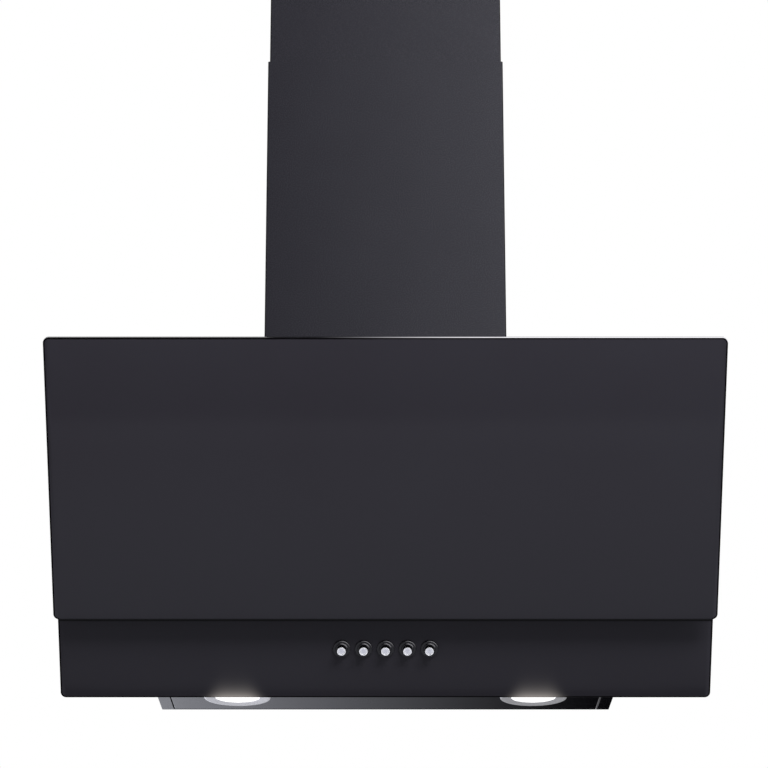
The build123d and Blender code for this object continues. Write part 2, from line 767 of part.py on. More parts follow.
tab_low = guide_mid - guide_length / 2 + tab_sheet + seat_gap
with BuildPart() as filter_latch:
    with BuildSketch(slope.offset(slider_lift - seat)):
        with Locations((0, slider_low + slider_length / 2)):
            RectangleRounded(2 * slider_half, slider_length, slider_corner)
    extrude(amount=slider_sheet)
    with BuildSketch(slope.offset(slider_front)):
        with Locations((0, tab_low + tab_sheet / 2)):
            Rectangle(2 * tab_half, tab_sheet)
    extrude(amount=tab_height)
    fillet(filter_latch.faces().sort_by(outward)[-1].edges(), tab_sheet / 4)
save(filter_latch.part, "filter_latch")

keeper_length = latch_travel - tongue_over
keeper_mid = filter_start - filter_gap - keeper_length / 2
keeper_inner = slider_half + fit_gap
keeper_rise = slider_lift + slider_sheet + fit_gap
with BuildPart() as latch_keeper:
    with BuildSketch(slope.offset(-seat)):
        with Locations((0, keeper_mid)):
            Rectangle(2 * (keeper_inner + keeper_wall), keeper_length)
    extrude(amount=keeper_rise + keeper_sheet)
    with BuildSketch(slope.offset(-seat)):
        with Locations((0, keeper_mid)):
            Rectangle(2 * keeper_inner, keeper_length)
    extrude(amount=keeper_rise, mode=Mode.SUBTRACT)
save(latch_keeper.part, "latch_keeper")


def scroll_face():
    """The air passage across the wheel's axis, drawn with local x along Y and local y along Z."""
    with BuildSketch() as passage:
        with BuildLine():
            first = CenterArc(arc_centres[0], scroll_r, 0, 90 - tongue_angle)
            CenterArc(arc_centres[1], scroll_r + scroll_step, -90, 90)
            last = CenterArc(arc_centres[2], scroll_r + 2 * scroll_step, -180, 90)
            Polyline(last @ 0, (neck_front, neck_top), (tongue_y, neck_top), first @ 1)
        make_face()
    return passage.sketch_local


def polar(radius, angle):
    """(Y, Z) at that radius and angle about the wheel's axis."""
    turn = math.radians(angle)
    return (wheel_y + radius * math.cos(turn), wheel_z + radius * math.sin(turn))


arm_turns = [90 + i * 360 / arm_count for i in range(arm_count)]

# Scroll housing: the spiral wall, one side plate and a flange round the outlet
wheel_axis = Axis((0, wheel_y, wheel_z), (1, 0, 0))
with BuildPart() as scroll_housing:
    with BuildSketch(Plane.YZ.offset(-scroll_half - scroll_sheet)):
        add(scroll_face())
        offset(amount=scroll_sheet, kind=Kind.INTERSECTION)
    extrude(amount=2 * scroll_half + scroll_sheet)
    with BuildSketch(Plane.XY.offset(neck_top)):
        with Locations((0, neck_mid)):
            Rectangle(2 * (scroll_half + neck_flange), neck_depth + 2 * neck_flange)
            with GridLocations(2 * (scroll_half + base_margin / 2), neck_depth - base_margin, 2, 2):
                Circle(screw_r + screw_gap, mode=Mode.SUBTRACT)
    extrude(amount=-scroll_sheet)
    with BuildSketch(Plane.YZ.offset(-scroll_half)):
        add(scroll_face())
    extrude(amount=2 * scroll_half, mode=Mode.SUBTRACT)
    with BuildSketch(Plane.YZ.offset(-scroll_half - scroll_sheet)):
        with Locations((wheel_y, wheel_z)):
            Circle(inlet_r)
    extrude(amount=scroll_sheet, mode=Mode.SUBTRACT)
    # the cover's place on the other side
    with BuildSketch(Plane.YZ.offset(scroll_half)):
        add(scroll_face())
        offset(amount=scroll_sheet, kind=Kind.INTERSECTION)
    extrude(amount=scroll_sheet, mode=Mode.SUBTRACT)
    split(bisect_by=Plane.XY.offset(neck_top), keep=Keep.BOTTOM)
save(scroll_housing.part, "scroll_housing")

with BuildPart() as scroll_cover:
    with BuildSketch(Plane.YZ.offset(scroll_half)):
        add(scroll_face())
        offset(amount=scroll_sheet, kind=Kind.INTERSECTION)
        with Locations((wheel_y, wheel_z)):
            Circle(inlet_r, mode=Mode.SUBTRACT)
        with Locations([polar(arm_foot_r, turn) for turn in arm_turns]):
            Circle(screw_r + screw_gap, mode=Mode.SUBTRACT)
    extrude(amount=scroll_sheet)
    split(bisect_by=Plane.XY.offset(neck_top), keep=Keep.BOTTOM)
save(scroll_cover.part, "scroll_cover")

# Bell-mouthed inlet rings, one on each side plate
plate_out = scroll_half + scroll_sheet
ring_out = plate_out + inlet_sheet
mouth_in = plate_out - inlet_lip
with BuildPart() as inlet_rings:
    for sign in sides.values():
        with BuildSketch(Plane.XY.offset(wheel_z)):
            with BuildLine():
                Polyline((sign * plate_out, wheel_y + inlet_flange_r),
                         (sign * ring_out, wheel_y + inlet_flange_r),
                         (sign * ring_out, wheel_y + inlet_r))
                mouth = RadiusArc((sign * ring_out, wheel_y + inlet_r),
                                  (sign * mouth_in, wheel_y + inlet_mouth_r), -sign * 2 * inlet_lip)
                Polyline(mouth @ 1, (sign * mouth_in, wheel_y + inlet_mouth_r + inlet_sheet),
                         (sign * plate_out, wheel_y + inlet_r - seat_gap),
                         (sign * plate_out, wheel_y + inlet_flange_r))
            make_face()
        revolve(axis=wheel_axis)
save(inlet_rings.part, "inlet_rings")

# Wheel: forward-curved blades between two rings and a disc in the middle
blade_mid_r = (wheel_r + blade_inner_r) / 2
blade_turn = math.degrees(blade_sheet / blade_mid_r)
with BuildPart() as impeller:
    for i in range(blade_count):
        start = i * 360 / blade_count
        with BuildSketch(Plane.YZ.offset(-wheel_half)):
            with BuildLine():
                ThreePointArc(polar(blade_inner_r, start), polar(blade_mid_r, start + blade_mid_sweep),
                              polar(wheel_r, start + blade_sweep))
                Line(polar(wheel_r, start + blade_sweep), polar(wheel_r, start + blade_sweep + blade_turn))
                ThreePointArc(polar(wheel_r, start + blade_sweep + blade_turn),
                              polar(blade_mid_r, start + blade_mid_sweep + blade_turn),
                              polar(blade_inner_r, start + blade_turn))
                Line(polar(blade_inner_r, start + blade_turn), polar(blade_inner_r, start))
            make_face()
        extrude(amount=2 * wheel_half, mode=Mode.ADD)
    for start, radius, inner, length in (
            (-wheel_half, wheel_r, blade_inner_r, ring_sheet),
            (wheel_half - ring_sheet, wheel_r, blade_inner_r, ring_sheet),
            (-ring_sheet / 2, wheel_r, shaft_r, ring_sheet),
            (-hub_half, hub_r, shaft_r, 2 * hub_half)):
        with BuildSketch(Plane.YZ.offset(start)):
            with Locations((wheel_y, wheel_z)):
                Circle(radius)
                Circle(inner, mode=Mode.SUBTRACT)
        extrude(amount=length)
save(impeller.part, "impeller")

with BuildPart() as motor_shaft:
    with BuildSketch(Plane.YZ.offset(-hub_half)):
        with Locations((wheel_y, wheel_z)):
            Circle(shaft_r)
    extrude(amount=hub_half + motor_start + motor_collar_r)
save(motor_shaft.part, "motor_shaft")

# Motor inside one half of the wheel, carried by a bracket on the scroll's cover
with BuildPart() as motor:
    with BuildSketch(Plane.YZ.offset(motor_start)):
        with Locations((wheel_y, wheel_z)):
            Circle(motor_r)
    extrude(amount=motor_end - motor_start)
    fillet(motor.faces().filter_by(Plane.YZ).edges(), motor_r / 8)
    with BuildSketch(Plane.YZ.offset(motor_start)):
        with Locations((wheel_y, wheel_z)):
            Circle(shaft_r + running_gap)
    extrude(amount=motor_collar_r + motor_gap, mode=Mode.SUBTRACT)
save(motor.part, "motor")

with BuildPart() as motor_bracket:
    with BuildSketch(Plane.YZ.offset(ring_out)):
        for turn in arm_turns:
            with Locations(Location((wheel_y, wheel_z)) * Rotation(0, 0, turn)):
                with Locations((arm_foot_r / 2, 0)):
                    Rectangle(arm_foot_r, arm_width)
            with Locations(polar(arm_foot_r, turn)):
                Circle(foot_r)
        with Locations((wheel_y, wheel_z)):
            Circle(motor_r + motor_ring)
            Circle(motor_r, mode=Mode.SUBTRACT)
    extrude(amount=arm_depth)
    with BuildSketch(Plane.YZ.offset(plate_out)):
        with Locations([polar(arm_foot_r, turn) for turn in arm_turns]):
            Circle(foot_r)
    extrude(amount=inlet_sheet)
    with BuildSketch(Plane.YZ.offset(plate_out)):
        with Locations([polar(arm_foot_r, turn) for turn in arm_turns]):
            Circle(screw_r + screw_gap)
    extrude(amount=inlet_sheet + arm_depth, mode=Mode.SUBTRACT)
save(motor_bracket.part, "motor_bracket")

# Outlet collar: a rectangular base that runs into a round spigot for the duct
with BuildPart() as outlet_collar:
    with BuildSketch(Plane.XY.offset(top_z)):
        with Locations((0, neck_mid)):
            RectangleRounded(2 * (scroll_half + base_margin), neck_depth + 2 * base_margin, base_corner)
            with GridLocations(2 * (scroll_half + base_margin / 2), neck_depth - base_margin, 2, 2):
                Circle(screw_r + screw_gap, mode=Mode.SUBTRACT)
    extrude(amount=base_sheet)
    with BuildSketch(Plane.XY.offset(collar_base_z)):
        with Locations((0, neck_mid)):
            RectangleRounded(2 * scroll_half, neck_depth, throat_corner)
    with BuildSketch(Plane.XY.offset(spigot_z)):
        with Locations((0, collar_y)):
            Circle(duct_r)
    loft()
    with BuildSketch(Plane.XY.offset(spigot_z)):
        with Locations((0, collar_y)):
            Circle(duct_r)
    extrude(amount=spigot_height)
    with BuildSketch(Plane.XY.offset(top_z)):
        with Locations((0, neck_mid)):
            RectangleRounded(2 * (scroll_half - collar_wall), neck_depth - 2 * collar_wall,
                             throat_corner - collar_wall)
    extrude(amount=base_sheet, mode=Mode.SUBTRACT)
    with BuildSketch(Plane.XY.offset(collar_base_z)):
        with Locations((0, neck_mid)):
            RectangleRounded(2 * (scroll_half - collar_wall), neck_depth - 2 * collar_wall,
                             throat_corner - collar_wall)
    with BuildSketch(Plane.XY.offset(spigot_z)):
        with Locations((0, collar_y)):
            Circle(duct_r - collar_wall)
    loft(mode=Mode.SUBTRACT)
    with BuildSketch(Plane.XY.offset(spigot_z)):
        with Locations((0, collar_y)):
            Circle(duct_r - collar_wall)
    extrude(amount=spigot_height, mode=Mode.SUBTRACT)
    # the closed flaps lie on this ledge
    with BuildSketch(Plane.XY.offset(flap_z - flap_sheet / 2 - seat_gap)):
        with Locations((0, collar_y)):
            Circle(duct_r - collar_wall / 2)
            Circle(duct_r - collar_wall - ledge_width, mode=Mode.SUBTRACT)
    extrude(amount=-ledge_sheet)
    with BuildSketch(Plane.YZ):
        with Locations((collar_y - flap_offset, flap_z), (collar_y + flap_offset, flap_z)):
            Circle(flap_pin_r + running_gap)
    extrude(amount=duct_r, both=True, mode=Mode.SUBTRACT)
save(outlet_collar.part, "outlet_collar")

flap_pin_half = math.sqrt((duct_r - collar_wall / 2) ** 2 - flap_offset ** 2)
with BuildPart() as flap_pins:
    with BuildSketch(Plane.YZ):
        with Locations((collar_y - flap_offset, flap_z), (collar_y + flap_offset, flap_z)):
            Circle(flap_pin_r)
    extrude(amount=flap_pin_half, both=True)
save(flap_pins.part, "flap_pins")

for name, sign in (("front", -1), ("rear", 1)):
    hinge_y = collar_y + sign * flap_offset
    with BuildPart() as flap:
        with BuildSketch(Plane.XY.offset(flap_z - flap_sheet / 2)):
            with Locations((0, collar_y)):
                Circle(duct_r - collar_wall - flap_gap)
            with Locations((0, hinge_y - sign * duct_r)):
                Rectangle(2 * duct_r, 2 * duct_r, mode=Mode.SUBTRACT)
            with Locations((0, hinge_y)):
                Rectangle(2 * duct_r, 2 * flap_knuckle_r, mode=Mode.SUBTRACT)
                Rectangle(2 * flap_knuckle_half, 2 * flap_knuckle_r)
            with Locations((0, hinge_y - sign * flap_knuckle_r)):
                Rectangle(2 * duct_r, 2 * flap_knuckle_r, mode=Mode.SUBTRACT)
        extrude(amount=flap_sheet)
        with BuildSketch(Plane.YZ):
            with Locations((hinge_y, flap_z)):
                Circle(flap_knuckle_r)
        extrude(amount=flap_knuckle_half, both=True)
        with BuildSketch(Plane.YZ):
            with Locations((hinge_y, flap_z)):
                Circle(flap_pin_r + running_gap)
        extrude(amount=duct_r, both=True, mode=Mode.SUBTRACT)
    save(flap.part, f"flap_{name}")


def chimney_section(width, depth, back, low, high):
    """A folded channel, open towards the wall between two return edges."""
    with BuildPart() as channel:
        with BuildSketch(Plane.XY.offset(low)):
            with Locations((0, -back - depth / 2)):
                Rectangle(width, depth)
        extrude(amount=high - low)
        fillet(channel.edges().filter_by(Axis.Z).group_by(Axis.Y)[0], chimney_corner)
        with BuildSketch(Plane.XY.offset(low)):
            with Locations((0, -back - depth / 2)):
                Rectangle(width - 2 * chimney_sheet, depth - 2 * chimney_sheet)
            with Locations((0, -back)):
                Rectangle(width - 2 * chimney_fold, 2 * depth - 4 * chimney_sheet)
        extrude(amount=high - low, mode=Mode.SUBTRACT)
    return channel.part


lower_top_z = top_z + lower_length
upper_top_z = lower_top_z + upper_shown
upper_width = chimney_width - 2 * (chimney_sheet + chimney_gap)
upper_depth = chimney_depth - 2 * (chimney_sheet + chimney_gap)
upper_back = chimney_sheet + chimney_gap
angle_screw_y = collar_y
angle_screw_z = top_z + angle_screw_rise
bracket_top = upper_top_z - bracket_drop
bracket_mid = bracket_top - bracket_height / 2
bracket_back = upper_back + chimney_sheet + seat_gap
bracket_screw_y = -bracket_back - bracket_screw_depth
with BuildPart() as chimney_lower:
    add(chimney_section(chimney_width, chimney_depth, 0, top_z, lower_top_z))
    with BuildSketch(Plane.YZ):
        with Locations((angle_screw_y, angle_screw_z)):
            Circle(screw_r + screw_gap)
    extrude(amount=chimney_width, both=True, mode=Mode.SUBTRACT)
save(chimney_lower.part, "chimney_lower")

slot_mid = upper_top_z - slot_drop - (slot_rows - 1) * slot_pitch / 2
with BuildPart() as chimney_upper:
    add(chimney_section(upper_width, upper_depth, upper_back, upper_top_z - upper_length, upper_top_z))
    with BuildSketch(Plane.YZ):
        with Locations((-upper_back - upper_depth / 2, slot_mid)):
            with GridLocations(slot_length + slot_pitch, slot_pitch, 2, slot_rows):
                SlotOverall(slot_length, slot_height)
        with Locations((bracket_screw_y, bracket_mid)):
            Circle(screw_r + screw_gap)
    extrude(amount=chimney_width, both=True, mode=Mode.SUBTRACT)
save(chimney_upper.part, "chimney_upper")

# Angles on the housing that carry the lower section
angle_x = chimney_width / 2 - chimney_sheet
with BuildPart() as chimney_angles:
    for sign in sides.values():
        with BuildSketch(Plane.XZ.offset(-angle_screw_y - angle_depth / 2)):
            with BuildLine():
                Polyline((sign * angle_x, top_z), (sign * angle_x, top_z + angle_leg),
                         (sign * (angle_x - angle_sheet), top_z + angle_leg),
                         (sign * (angle_x - angle_sheet), top_z + angle_sheet),
                         (sign * (angle_x - angle_leg), top_z + angle_sheet),
                         (sign * (angle_x - angle_leg), top_z), close=True)
            make_face()
        extrude(amount=angle_depth)
    with BuildSketch(Plane.YZ):
        with Locations((angle_screw_y, angle_screw_z)):
            Circle(screw_r + screw_gap)
    extrude(amount=chimney_width, both=True, mode=Mode.SUBTRACT)
save(chimney_angles.part, "chimney_angles")

# Wall bracket inside the upper section: a strip on two pressed feet, with an ear at each end
ear_x = upper_width / 2 - chimney_sheet
with BuildPart() as chimney_bracket:
    with BuildSketch(Plane.XY.offset(bracket_top - bracket_height)):
        with Locations((0, -bracket_back - bracket_ear / 2)):
            Rectangle(2 * ear_x, bracket_ear)
        with Locations((0, -bracket_back - angle_sheet - bracket_ear)):
            Rectangle(2 * (ear_x - angle_sheet), 2 * bracket_ear, mode=Mode.SUBTRACT)
    extrude(amount=bracket_height)
    with BuildSketch(Plane.XZ):
        with Locations((0, bracket_mid)):
            with GridLocations(bracket_hole_x, 1, 2, 1):
                Circle(boss_r)
    extrude(amount=bracket_back)
    with BuildSketch(Plane.XZ):
        with Locations((0, bracket_mid)):
            with GridLocations(bracket_hole_x, 1, 2, 1):
                Circle(bracket_hole_r)
    extrude(amount=bracket_back + angle_sheet, mode=Mode.SUBTRACT)
    with BuildSketch(Plane.YZ):
        with Locations((bracket_screw_y, bracket_mid)):
            Circle(screw_r + screw_gap)
    extrude(amount=chimney_width, both=True, mode=Mode.SUBTRACT)
save(chimney_bracket.part, "chimney_bracket")

# Boxes for the lamp driver and the terminals, on the back panel
box_z = base_z + box_level
for side, name in (("left", "lamp_driver"), ("right", "terminal_box")):
    with BuildPart() as box:
        with BuildSketch(Plane.XZ.offset(back_sheet)):
            with Locations((sides[side] * box_x, box_z)):
                RectangleRounded(box_width, box_height, box_corner)
        extrude(amount=box_depth)
        offset(amount=-lid_sheet, openings=box.faces().sort_by(Axis.Y)[0], kind=Kind.INTERSECTION)
    save(box.part, name)

with BuildPart() as box_lids:
    for sign in sides.values():
        with BuildSketch(Plane.XZ.offset(back_sheet + box_depth)):
            with Locations((sign * box_x, box_z)):
                RectangleRounded(box_width, box_height, box_corner)
        extrude(amount=lid_sheet)
save(box_lids.part, "box_lids")

with BuildPart() as capacitor:
    with BuildSketch(Plane.XY.offset(box_z + box_height / 2 + seat_gap)):
        with Locations((box_x, -back_sheet - seat_gap - capacitor_r)):
            Circle(capacitor_r)
    extrude(amount=capacitor_length)
    fillet(capacitor.faces().filter_by(Plane.XY).edges(), capacitor_r / 8)
save(capacitor.part, "capacitor")

# Cable gland in the top, inside the chimney
with BuildPart() as cable_gland:
    with BuildSketch(Plane.XY.offset(top_z)):
        with Locations((gland_x, gland_y)):
            RegularPolygon(gland_nut_r, 6)
    extrude(amount=gland_nut)
    with BuildSketch(Plane.XY.offset(top_z + gland_nut)):
        with Locations((gland_x, gland_y)):
            Circle(gland_r)
    extrude(amount=gland_height - gland_nut)
    fillet(cable_gland.faces().sort_by(Axis.Z)[-1].edges(), gland_r / 4)
    with BuildSketch(Plane.XY.offset(top_z)):
        with Locations((gland_x, gland_y)):
            Circle(gland_r)
    extrude(amount=-body_sheet - gland_nut)
    with BuildSketch(Plane.XY.offset(top_z + gland_height)):
        with Locations((gland_x, gland_y)):
            Circle(gland_bore_r)
    extrude(amount=-gland_height - body_sheet - gland_nut, mode=Mode.SUBTRACT)
save(cable_gland.part, "cable_gland")


def screws(places):
    """Pan-head screws: each place is the head's seat, its local z pointing out of the head."""
    with BuildPart() as group:
        for place in places:
            with BuildSketch(place):
                Circle(screw_head_r)
            extrude(amount=screw_head)
            with BuildSketch(place):
                Circle(screw_r)
            extrude(amount=-screw_length)
    return group.part


def at(plane, x, y, z=0):
    """The plane moved to a point given in its own coordinates."""
    return Plane(origin=plane.from_local_coords((x, y, z)), x_dir=plane.x_dir, z_dir=plane.z_dir)


hinge_step = hinge_plate_half - hinge_screw_edge
hinge_places = [at(slope, sign * hinge_x + step, hinge_screw_s, plate_sheet - seat)
                for sign in sides.values() for step in (-hinge_step, hinge_step)]
collar_places = [at(Plane.XY, x, neck_mid + y, collar_base_z)
                 for x in (-scroll_half - base_margin / 2, scroll_half + base_margin / 2)
                 for y in ((base_margin - neck_depth) / 2, (neck_depth - base_margin) / 2)]
motor_places = [at(Plane.YZ, *polar(arm_foot_r, turn), ring_out + arm_depth) for turn in arm_turns]
save(screws(hinge_places + collar_places + motor_places), "hood_screws")


def side_screws(y, z, reach):
    """One screw on each side of the chimney, its head outside."""
    return screws([Plane(origin=(sign * reach, y, z), x_dir=(0, 1, 0), z_dir=(sign, 0, 0))
                   for sign in sides.values()])


save(side_screws(angle_screw_y, angle_screw_z, chimney_width / 2), "chimney_screws")
save(side_screws(bracket_screw_y, bracket_mid, upper_width / 2), "bracket_screws")
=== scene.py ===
import json
import math
import bmesh
import bpy
import numpy as np
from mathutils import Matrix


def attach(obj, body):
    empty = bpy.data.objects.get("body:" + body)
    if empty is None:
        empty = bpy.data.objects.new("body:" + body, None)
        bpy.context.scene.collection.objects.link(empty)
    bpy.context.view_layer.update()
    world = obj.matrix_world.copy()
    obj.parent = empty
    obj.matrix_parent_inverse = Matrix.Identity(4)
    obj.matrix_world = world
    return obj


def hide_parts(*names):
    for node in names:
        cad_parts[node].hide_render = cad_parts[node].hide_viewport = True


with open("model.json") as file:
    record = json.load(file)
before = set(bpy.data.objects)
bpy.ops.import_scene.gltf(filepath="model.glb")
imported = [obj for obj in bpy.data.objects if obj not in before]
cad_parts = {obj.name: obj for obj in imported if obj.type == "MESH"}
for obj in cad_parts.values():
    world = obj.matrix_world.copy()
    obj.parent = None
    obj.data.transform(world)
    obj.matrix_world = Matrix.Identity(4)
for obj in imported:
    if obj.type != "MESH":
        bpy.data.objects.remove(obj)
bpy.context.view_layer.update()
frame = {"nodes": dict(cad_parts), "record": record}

print("frame loaded,", len(frame["nodes"]), "nodes")

mm = 0.001  # sizes are written in millimetres, meshes are made in metres
doubleGap = 1e-7  # points closer than this, in metres, are one

# The glass planes lean out over the hob: s runs up the slope from its foot, n comes out of the control glass.
slope = dict(lean=math.radians(30.98), reach=91.7, low=-150.0)
# The lamp plate falls towards the wall: y runs forward from the wall along it, h points down to the hob.
under = dict(tilt=math.radians(5.43), low=-149.2)


# point = foot of the slope + s up the slope + n out of the glass
def onSlope(x, s, n):
    y = -slope["reach"] - math.sin(slope["lean"]) * s - math.cos(slope["lean"]) * n
    z = slope["low"] + math.cos(slope["lean"]) * s - math.sin(slope["lean"]) * n
    return np.stack(np.broadcast_arrays(x, y, z), axis=-1) * mm


# point = rear edge of the lamp plate + y forward along it + h down out of it
def onPlate(x, y, h):
    back = -math.cos(under["tilt"]) * y - math.sin(under["tilt"]) * h
    z = under["low"] + math.sin(under["tilt"]) * y - math.cos(under["tilt"]) * h
    return np.stack(np.broadcast_arrays(x, back, z), axis=-1) * mm


# One node with its settings; an input is a value or the socket that feeds it
def addNode(tree, kind, inputs=None, **settings):
    node = tree.nodes.new(kind)
    for key, value in settings.items():
        setattr(node, key, value)
    for socket, value in (inputs or {}).items():
        if isinstance(value, bpy.types.NodeSocket):
            tree.links.new(value, node.inputs[socket])
        else:
            node.inputs[socket].default_value = value
    return node


# A new material with an empty node tree
def newPaint(name):
    paint = bpy.data.materials.new(name)
    paint.use_nodes = True
    paint.node_tree.nodes.clear()
    return paint, paint.node_tree


# sRGB hex to linear light: channel / 12.92 in the darks, ((channel + 0.055) / 1.055) ^ 2.4 above
def toLinear(hexColour):
    channels = np.array([int(hexColour[i:i + 2], 16) for i in (1, 3, 5)]) / 255
    linear = np.where(channels <= 0.04045, channels / 12.92, ((channels + 0.055) / 1.055) ** 2.4)
    return (*[float(c) for c in linear], 1.0)


# Camera at the photograph's angle: below the hood, looking up a little, with a long lens
view = dict(place=(0, -2.332, -0.4708), pitch=15.42, focalPx=2450, imagePx=768, sensor=36, sideShiftPx=1.45)
cameraData = bpy.data.cameras.new("hoodCamera")
cameraData.sensor_width = view["sensor"]
cameraData.lens = view["focalPx"] / view["imagePx"] * view["sensor"]
cameraData.shift_x = -view["sideShiftPx"] / view["imagePx"]
camera = bpy.data.objects.new("hoodCamera", cameraData)
camera.location = view["place"]
camera.rotation_euler = (math.radians(90 + view["pitch"]), 0, 0)
bpy.context.scene.collection.objects.link(camera)
bpy.context.scene.camera = camera
bpy.context.scene.view_settings.view_transform = "Standard"

# Soft boxes: where each is, what it looks at, its size in metres and its power in watts. No gloss shows them.
studio = dict(
    boxes=dict(
        frontTop=dict(place=(0.9, -2.2, 1.50), aim=(0.0, -0.2, 0.05), size=(1.5, 1.1), power=78),
        lowLeft=dict(place=(-1.6, -1.9, -0.2), aim=(0.0, -0.2, 0.0), size=(1.4, 1.0), power=3),
        edgeTop=dict(place=(0.75, 0.78, 1.18), aim=(0.25, -0.24, 0.14), size=(1.45, 0.7), power=9)),
    worldLevel=0.22, floorLevel=-2.60, floorSize=60.0)
for boxName, box in studio["boxes"].items():
    lampData = bpy.data.lights.new(boxName, "AREA")
    lampData.shape = "RECTANGLE"
    lampData.size, lampData.size_y = box["size"]
    lampData.energy = box["power"]
    lamp = bpy.data.objects.new(boxName, lampData)
    lamp.location = box["place"]
    towards = np.array(box["place"]) - np.array(box["aim"])
    turn = math.atan2(towards[0], -towards[1])
    fall = math.atan2(math.hypot(towards[0], towards[1]), towards[2])
    lamp.rotation_euler = (fall, 0, turn)
    lamp.visible_camera = False
    lamp.visible_glossy = False
    bpy.context.scene.collection.objects.link(lamp)

# White wherever the camera, a gloss or a clear surface sees it; plain studio level for everything else
world = bpy.data.worlds.new("studioWorld")
bpy.context.scene.world = world
world.use_nodes = True
worldTree = world.node_tree
worldTree.nodes.clear()
rays = addNode(worldTree, "ShaderNodeLightPath")
seen = addNode(worldTree, "ShaderNodeMath", {0: rays.outputs["Is Camera Ray"],
                                             1: rays.outputs["Is Transmission Ray"]}, operation="MAXIMUM")
shine = addNode(worldTree, "ShaderNodeMath", {0: seen.outputs[0], 1: rays.outputs["Is Glossy Ray"]},
                operation="MAXIMUM")
skyLevel = addNode(worldTree, "ShaderNodeMapRange", {"Value": shine.outputs[0],
                                                     "To Min": studio["worldLevel"], "To Max": 1.0})
sky = addNode(worldTree, "ShaderNodeBackground", {"Color": (1, 1, 1, 1), "Strength": skyLevel.outputs[0]})
addNode(worldTree, "ShaderNodeOutputWorld", {"Surface": sky.outputs[0]})


# A stage sheet, flat or folded: quads between neighbouring rows of corner points, in one plain paint
def stageSheet(name, rows, paint):
    rows = np.array(rows, dtype=float)
    count = rows.shape[1]
    start = (np.arange(rows.shape[0] - 1)[:, None] * count + np.arange(count - 1)).ravel()
    quads = np.stack([start, start + 1, start + count + 1, start + count], axis=-1)
    mesh = bpy.data.meshes.new(name)
    mesh.from_pydata(rows.reshape(-1, 3).tolist(), [], quads.tolist())
    mesh.materials.append(paint)
    sheet = bpy.data.objects.new(name, mesh)
    bpy.context.scene.collection.objects.link(sheet)
    return sheet


# Pale floor: matt board for the light, near white where the camera sees it
floorLook = dict(board="#cfcfd3", seen="#f4f4f6", share=0.85)
floorPaint, floorTree = newPaint("paleStudioFloor")
floorRays = addNode(floorTree, "ShaderNodeLightPath")
floorShare = addNode(floorTree, "ShaderNodeMath", {0: floorRays.outputs["Is Camera Ray"],
                                                   1: floorLook["share"]}, operation="MULTIPLY")
floorBoard = addNode(floorTree, "ShaderNodeBsdfDiffuse", {"Color": toLinear(floorLook["board"])})
floorGlow = addNode(floorTree, "ShaderNodeEmission", {"Color": toLinear(floorLook["seen"])})
floorMix = addNode(floorTree, "ShaderNodeMixShader", {0: floorShare.outputs[0], 1: floorBoard.outputs[0],
                                                      2: floorGlow.outputs[0]})
addNode(floorTree, "ShaderNodeOutputMaterial", {"Surface": floorMix.outputs[0]})
floorHalf, floorLow = studio["floorSize"] / 2, studio["floorLevel"]
floorRows = [[(-floorHalf, y, floorLow), (floorHalf, y, floorLow)] for y in (-floorHalf, floorHalf)]
stageSheet("studioFloor", floorRows, floorPaint)

# Cards that only reflections see. Each glows by level (distance from its dark side / span) ^ bend along X.
# Behind and below, bright at the left: shades the lamp plate. In front and above, bright at the right: shades
# the chimney. Low down in front, even: lights the push caps.
cards = dict(
    behind=dict(darkX=0.32, span=-1.0, bend=1.75, level=1.9,
                rows=[[(-1.2, 0.30, -0.79), (1.8, 0.30, -0.79)], [(-1.2, 1.10, -0.78), (1.8, 1.10, -0.78)],
                      [(-1.2, 1.35, -0.10), (1.8, 1.35, -0.10)]]),
    front=dict(darkX=-0.33, span=1.0, bend=1.0, level=1.8,
               rows=[[(-1.6, -2.2, -0.1), (1.6, -2.2, -0.1)], [(-1.6, -2.2, 2.8), (1.6, -2.2, 2.8)]]),
    low=dict(darkX=-9.0, span=1.0, bend=0.0, level=1.4,
             rows=[[(-1.3, -2.4, -1.55), (1.3, -2.4, -1.55)], [(-1.3, -0.5, -1.55), (1.3, -0.5, -1.55)]]))
cardColour = "#eef0fb"
for cardName, card in cards.items():
    cardPaint, cardTree = newPaint(cardName + "CardGlow")
    cardPlace = addNode(cardTree, "ShaderNodeTexCoord")
    cardAxes = addNode(cardTree, "ShaderNodeSeparateXYZ", {0: cardPlace.outputs["Object"]})
    cardSpread = addNode(cardTree, "ShaderNodeMapRange", {"Value": cardAxes.outputs[0],
                                                          "From Min": card["darkX"],
                                                          "From Max": card["darkX"] + card["span"],
                                                          "To Max": 1.0})
    cardBend = addNode(cardTree, "ShaderNodeMath", {0: cardSpread.outputs[0], 1: card["bend"]},
                       operation="POWER")
    cardLevel = addNode(cardTree, "ShaderNodeMath", {0: cardBend.outputs[0], 1: card["level"]},
                        operation="MULTIPLY")
    cardGlow = addNode(cardTree, "ShaderNodeEmission", {"Color": toLinear(cardColour),
                                                        "Strength": cardLevel.outputs[0]})
    addNode(cardTree, "ShaderNodeOutputMaterial", {"Surface": cardGlow.outputs[0]})
    sheet = stageSheet(cardName + "Card", card["rows"], cardPaint)
    sheet.visible_camera = False
    sheet.visible_diffuse = False
    sheet.visible_transmission = False
    sheet.visible_shadow = False
print("camera, soft boxes, floor and cards set")

# Nearly all of a noise lies between these levels, so they are drawn out to the full range
noiseLow, noiseHigh = 0.3, 0.7


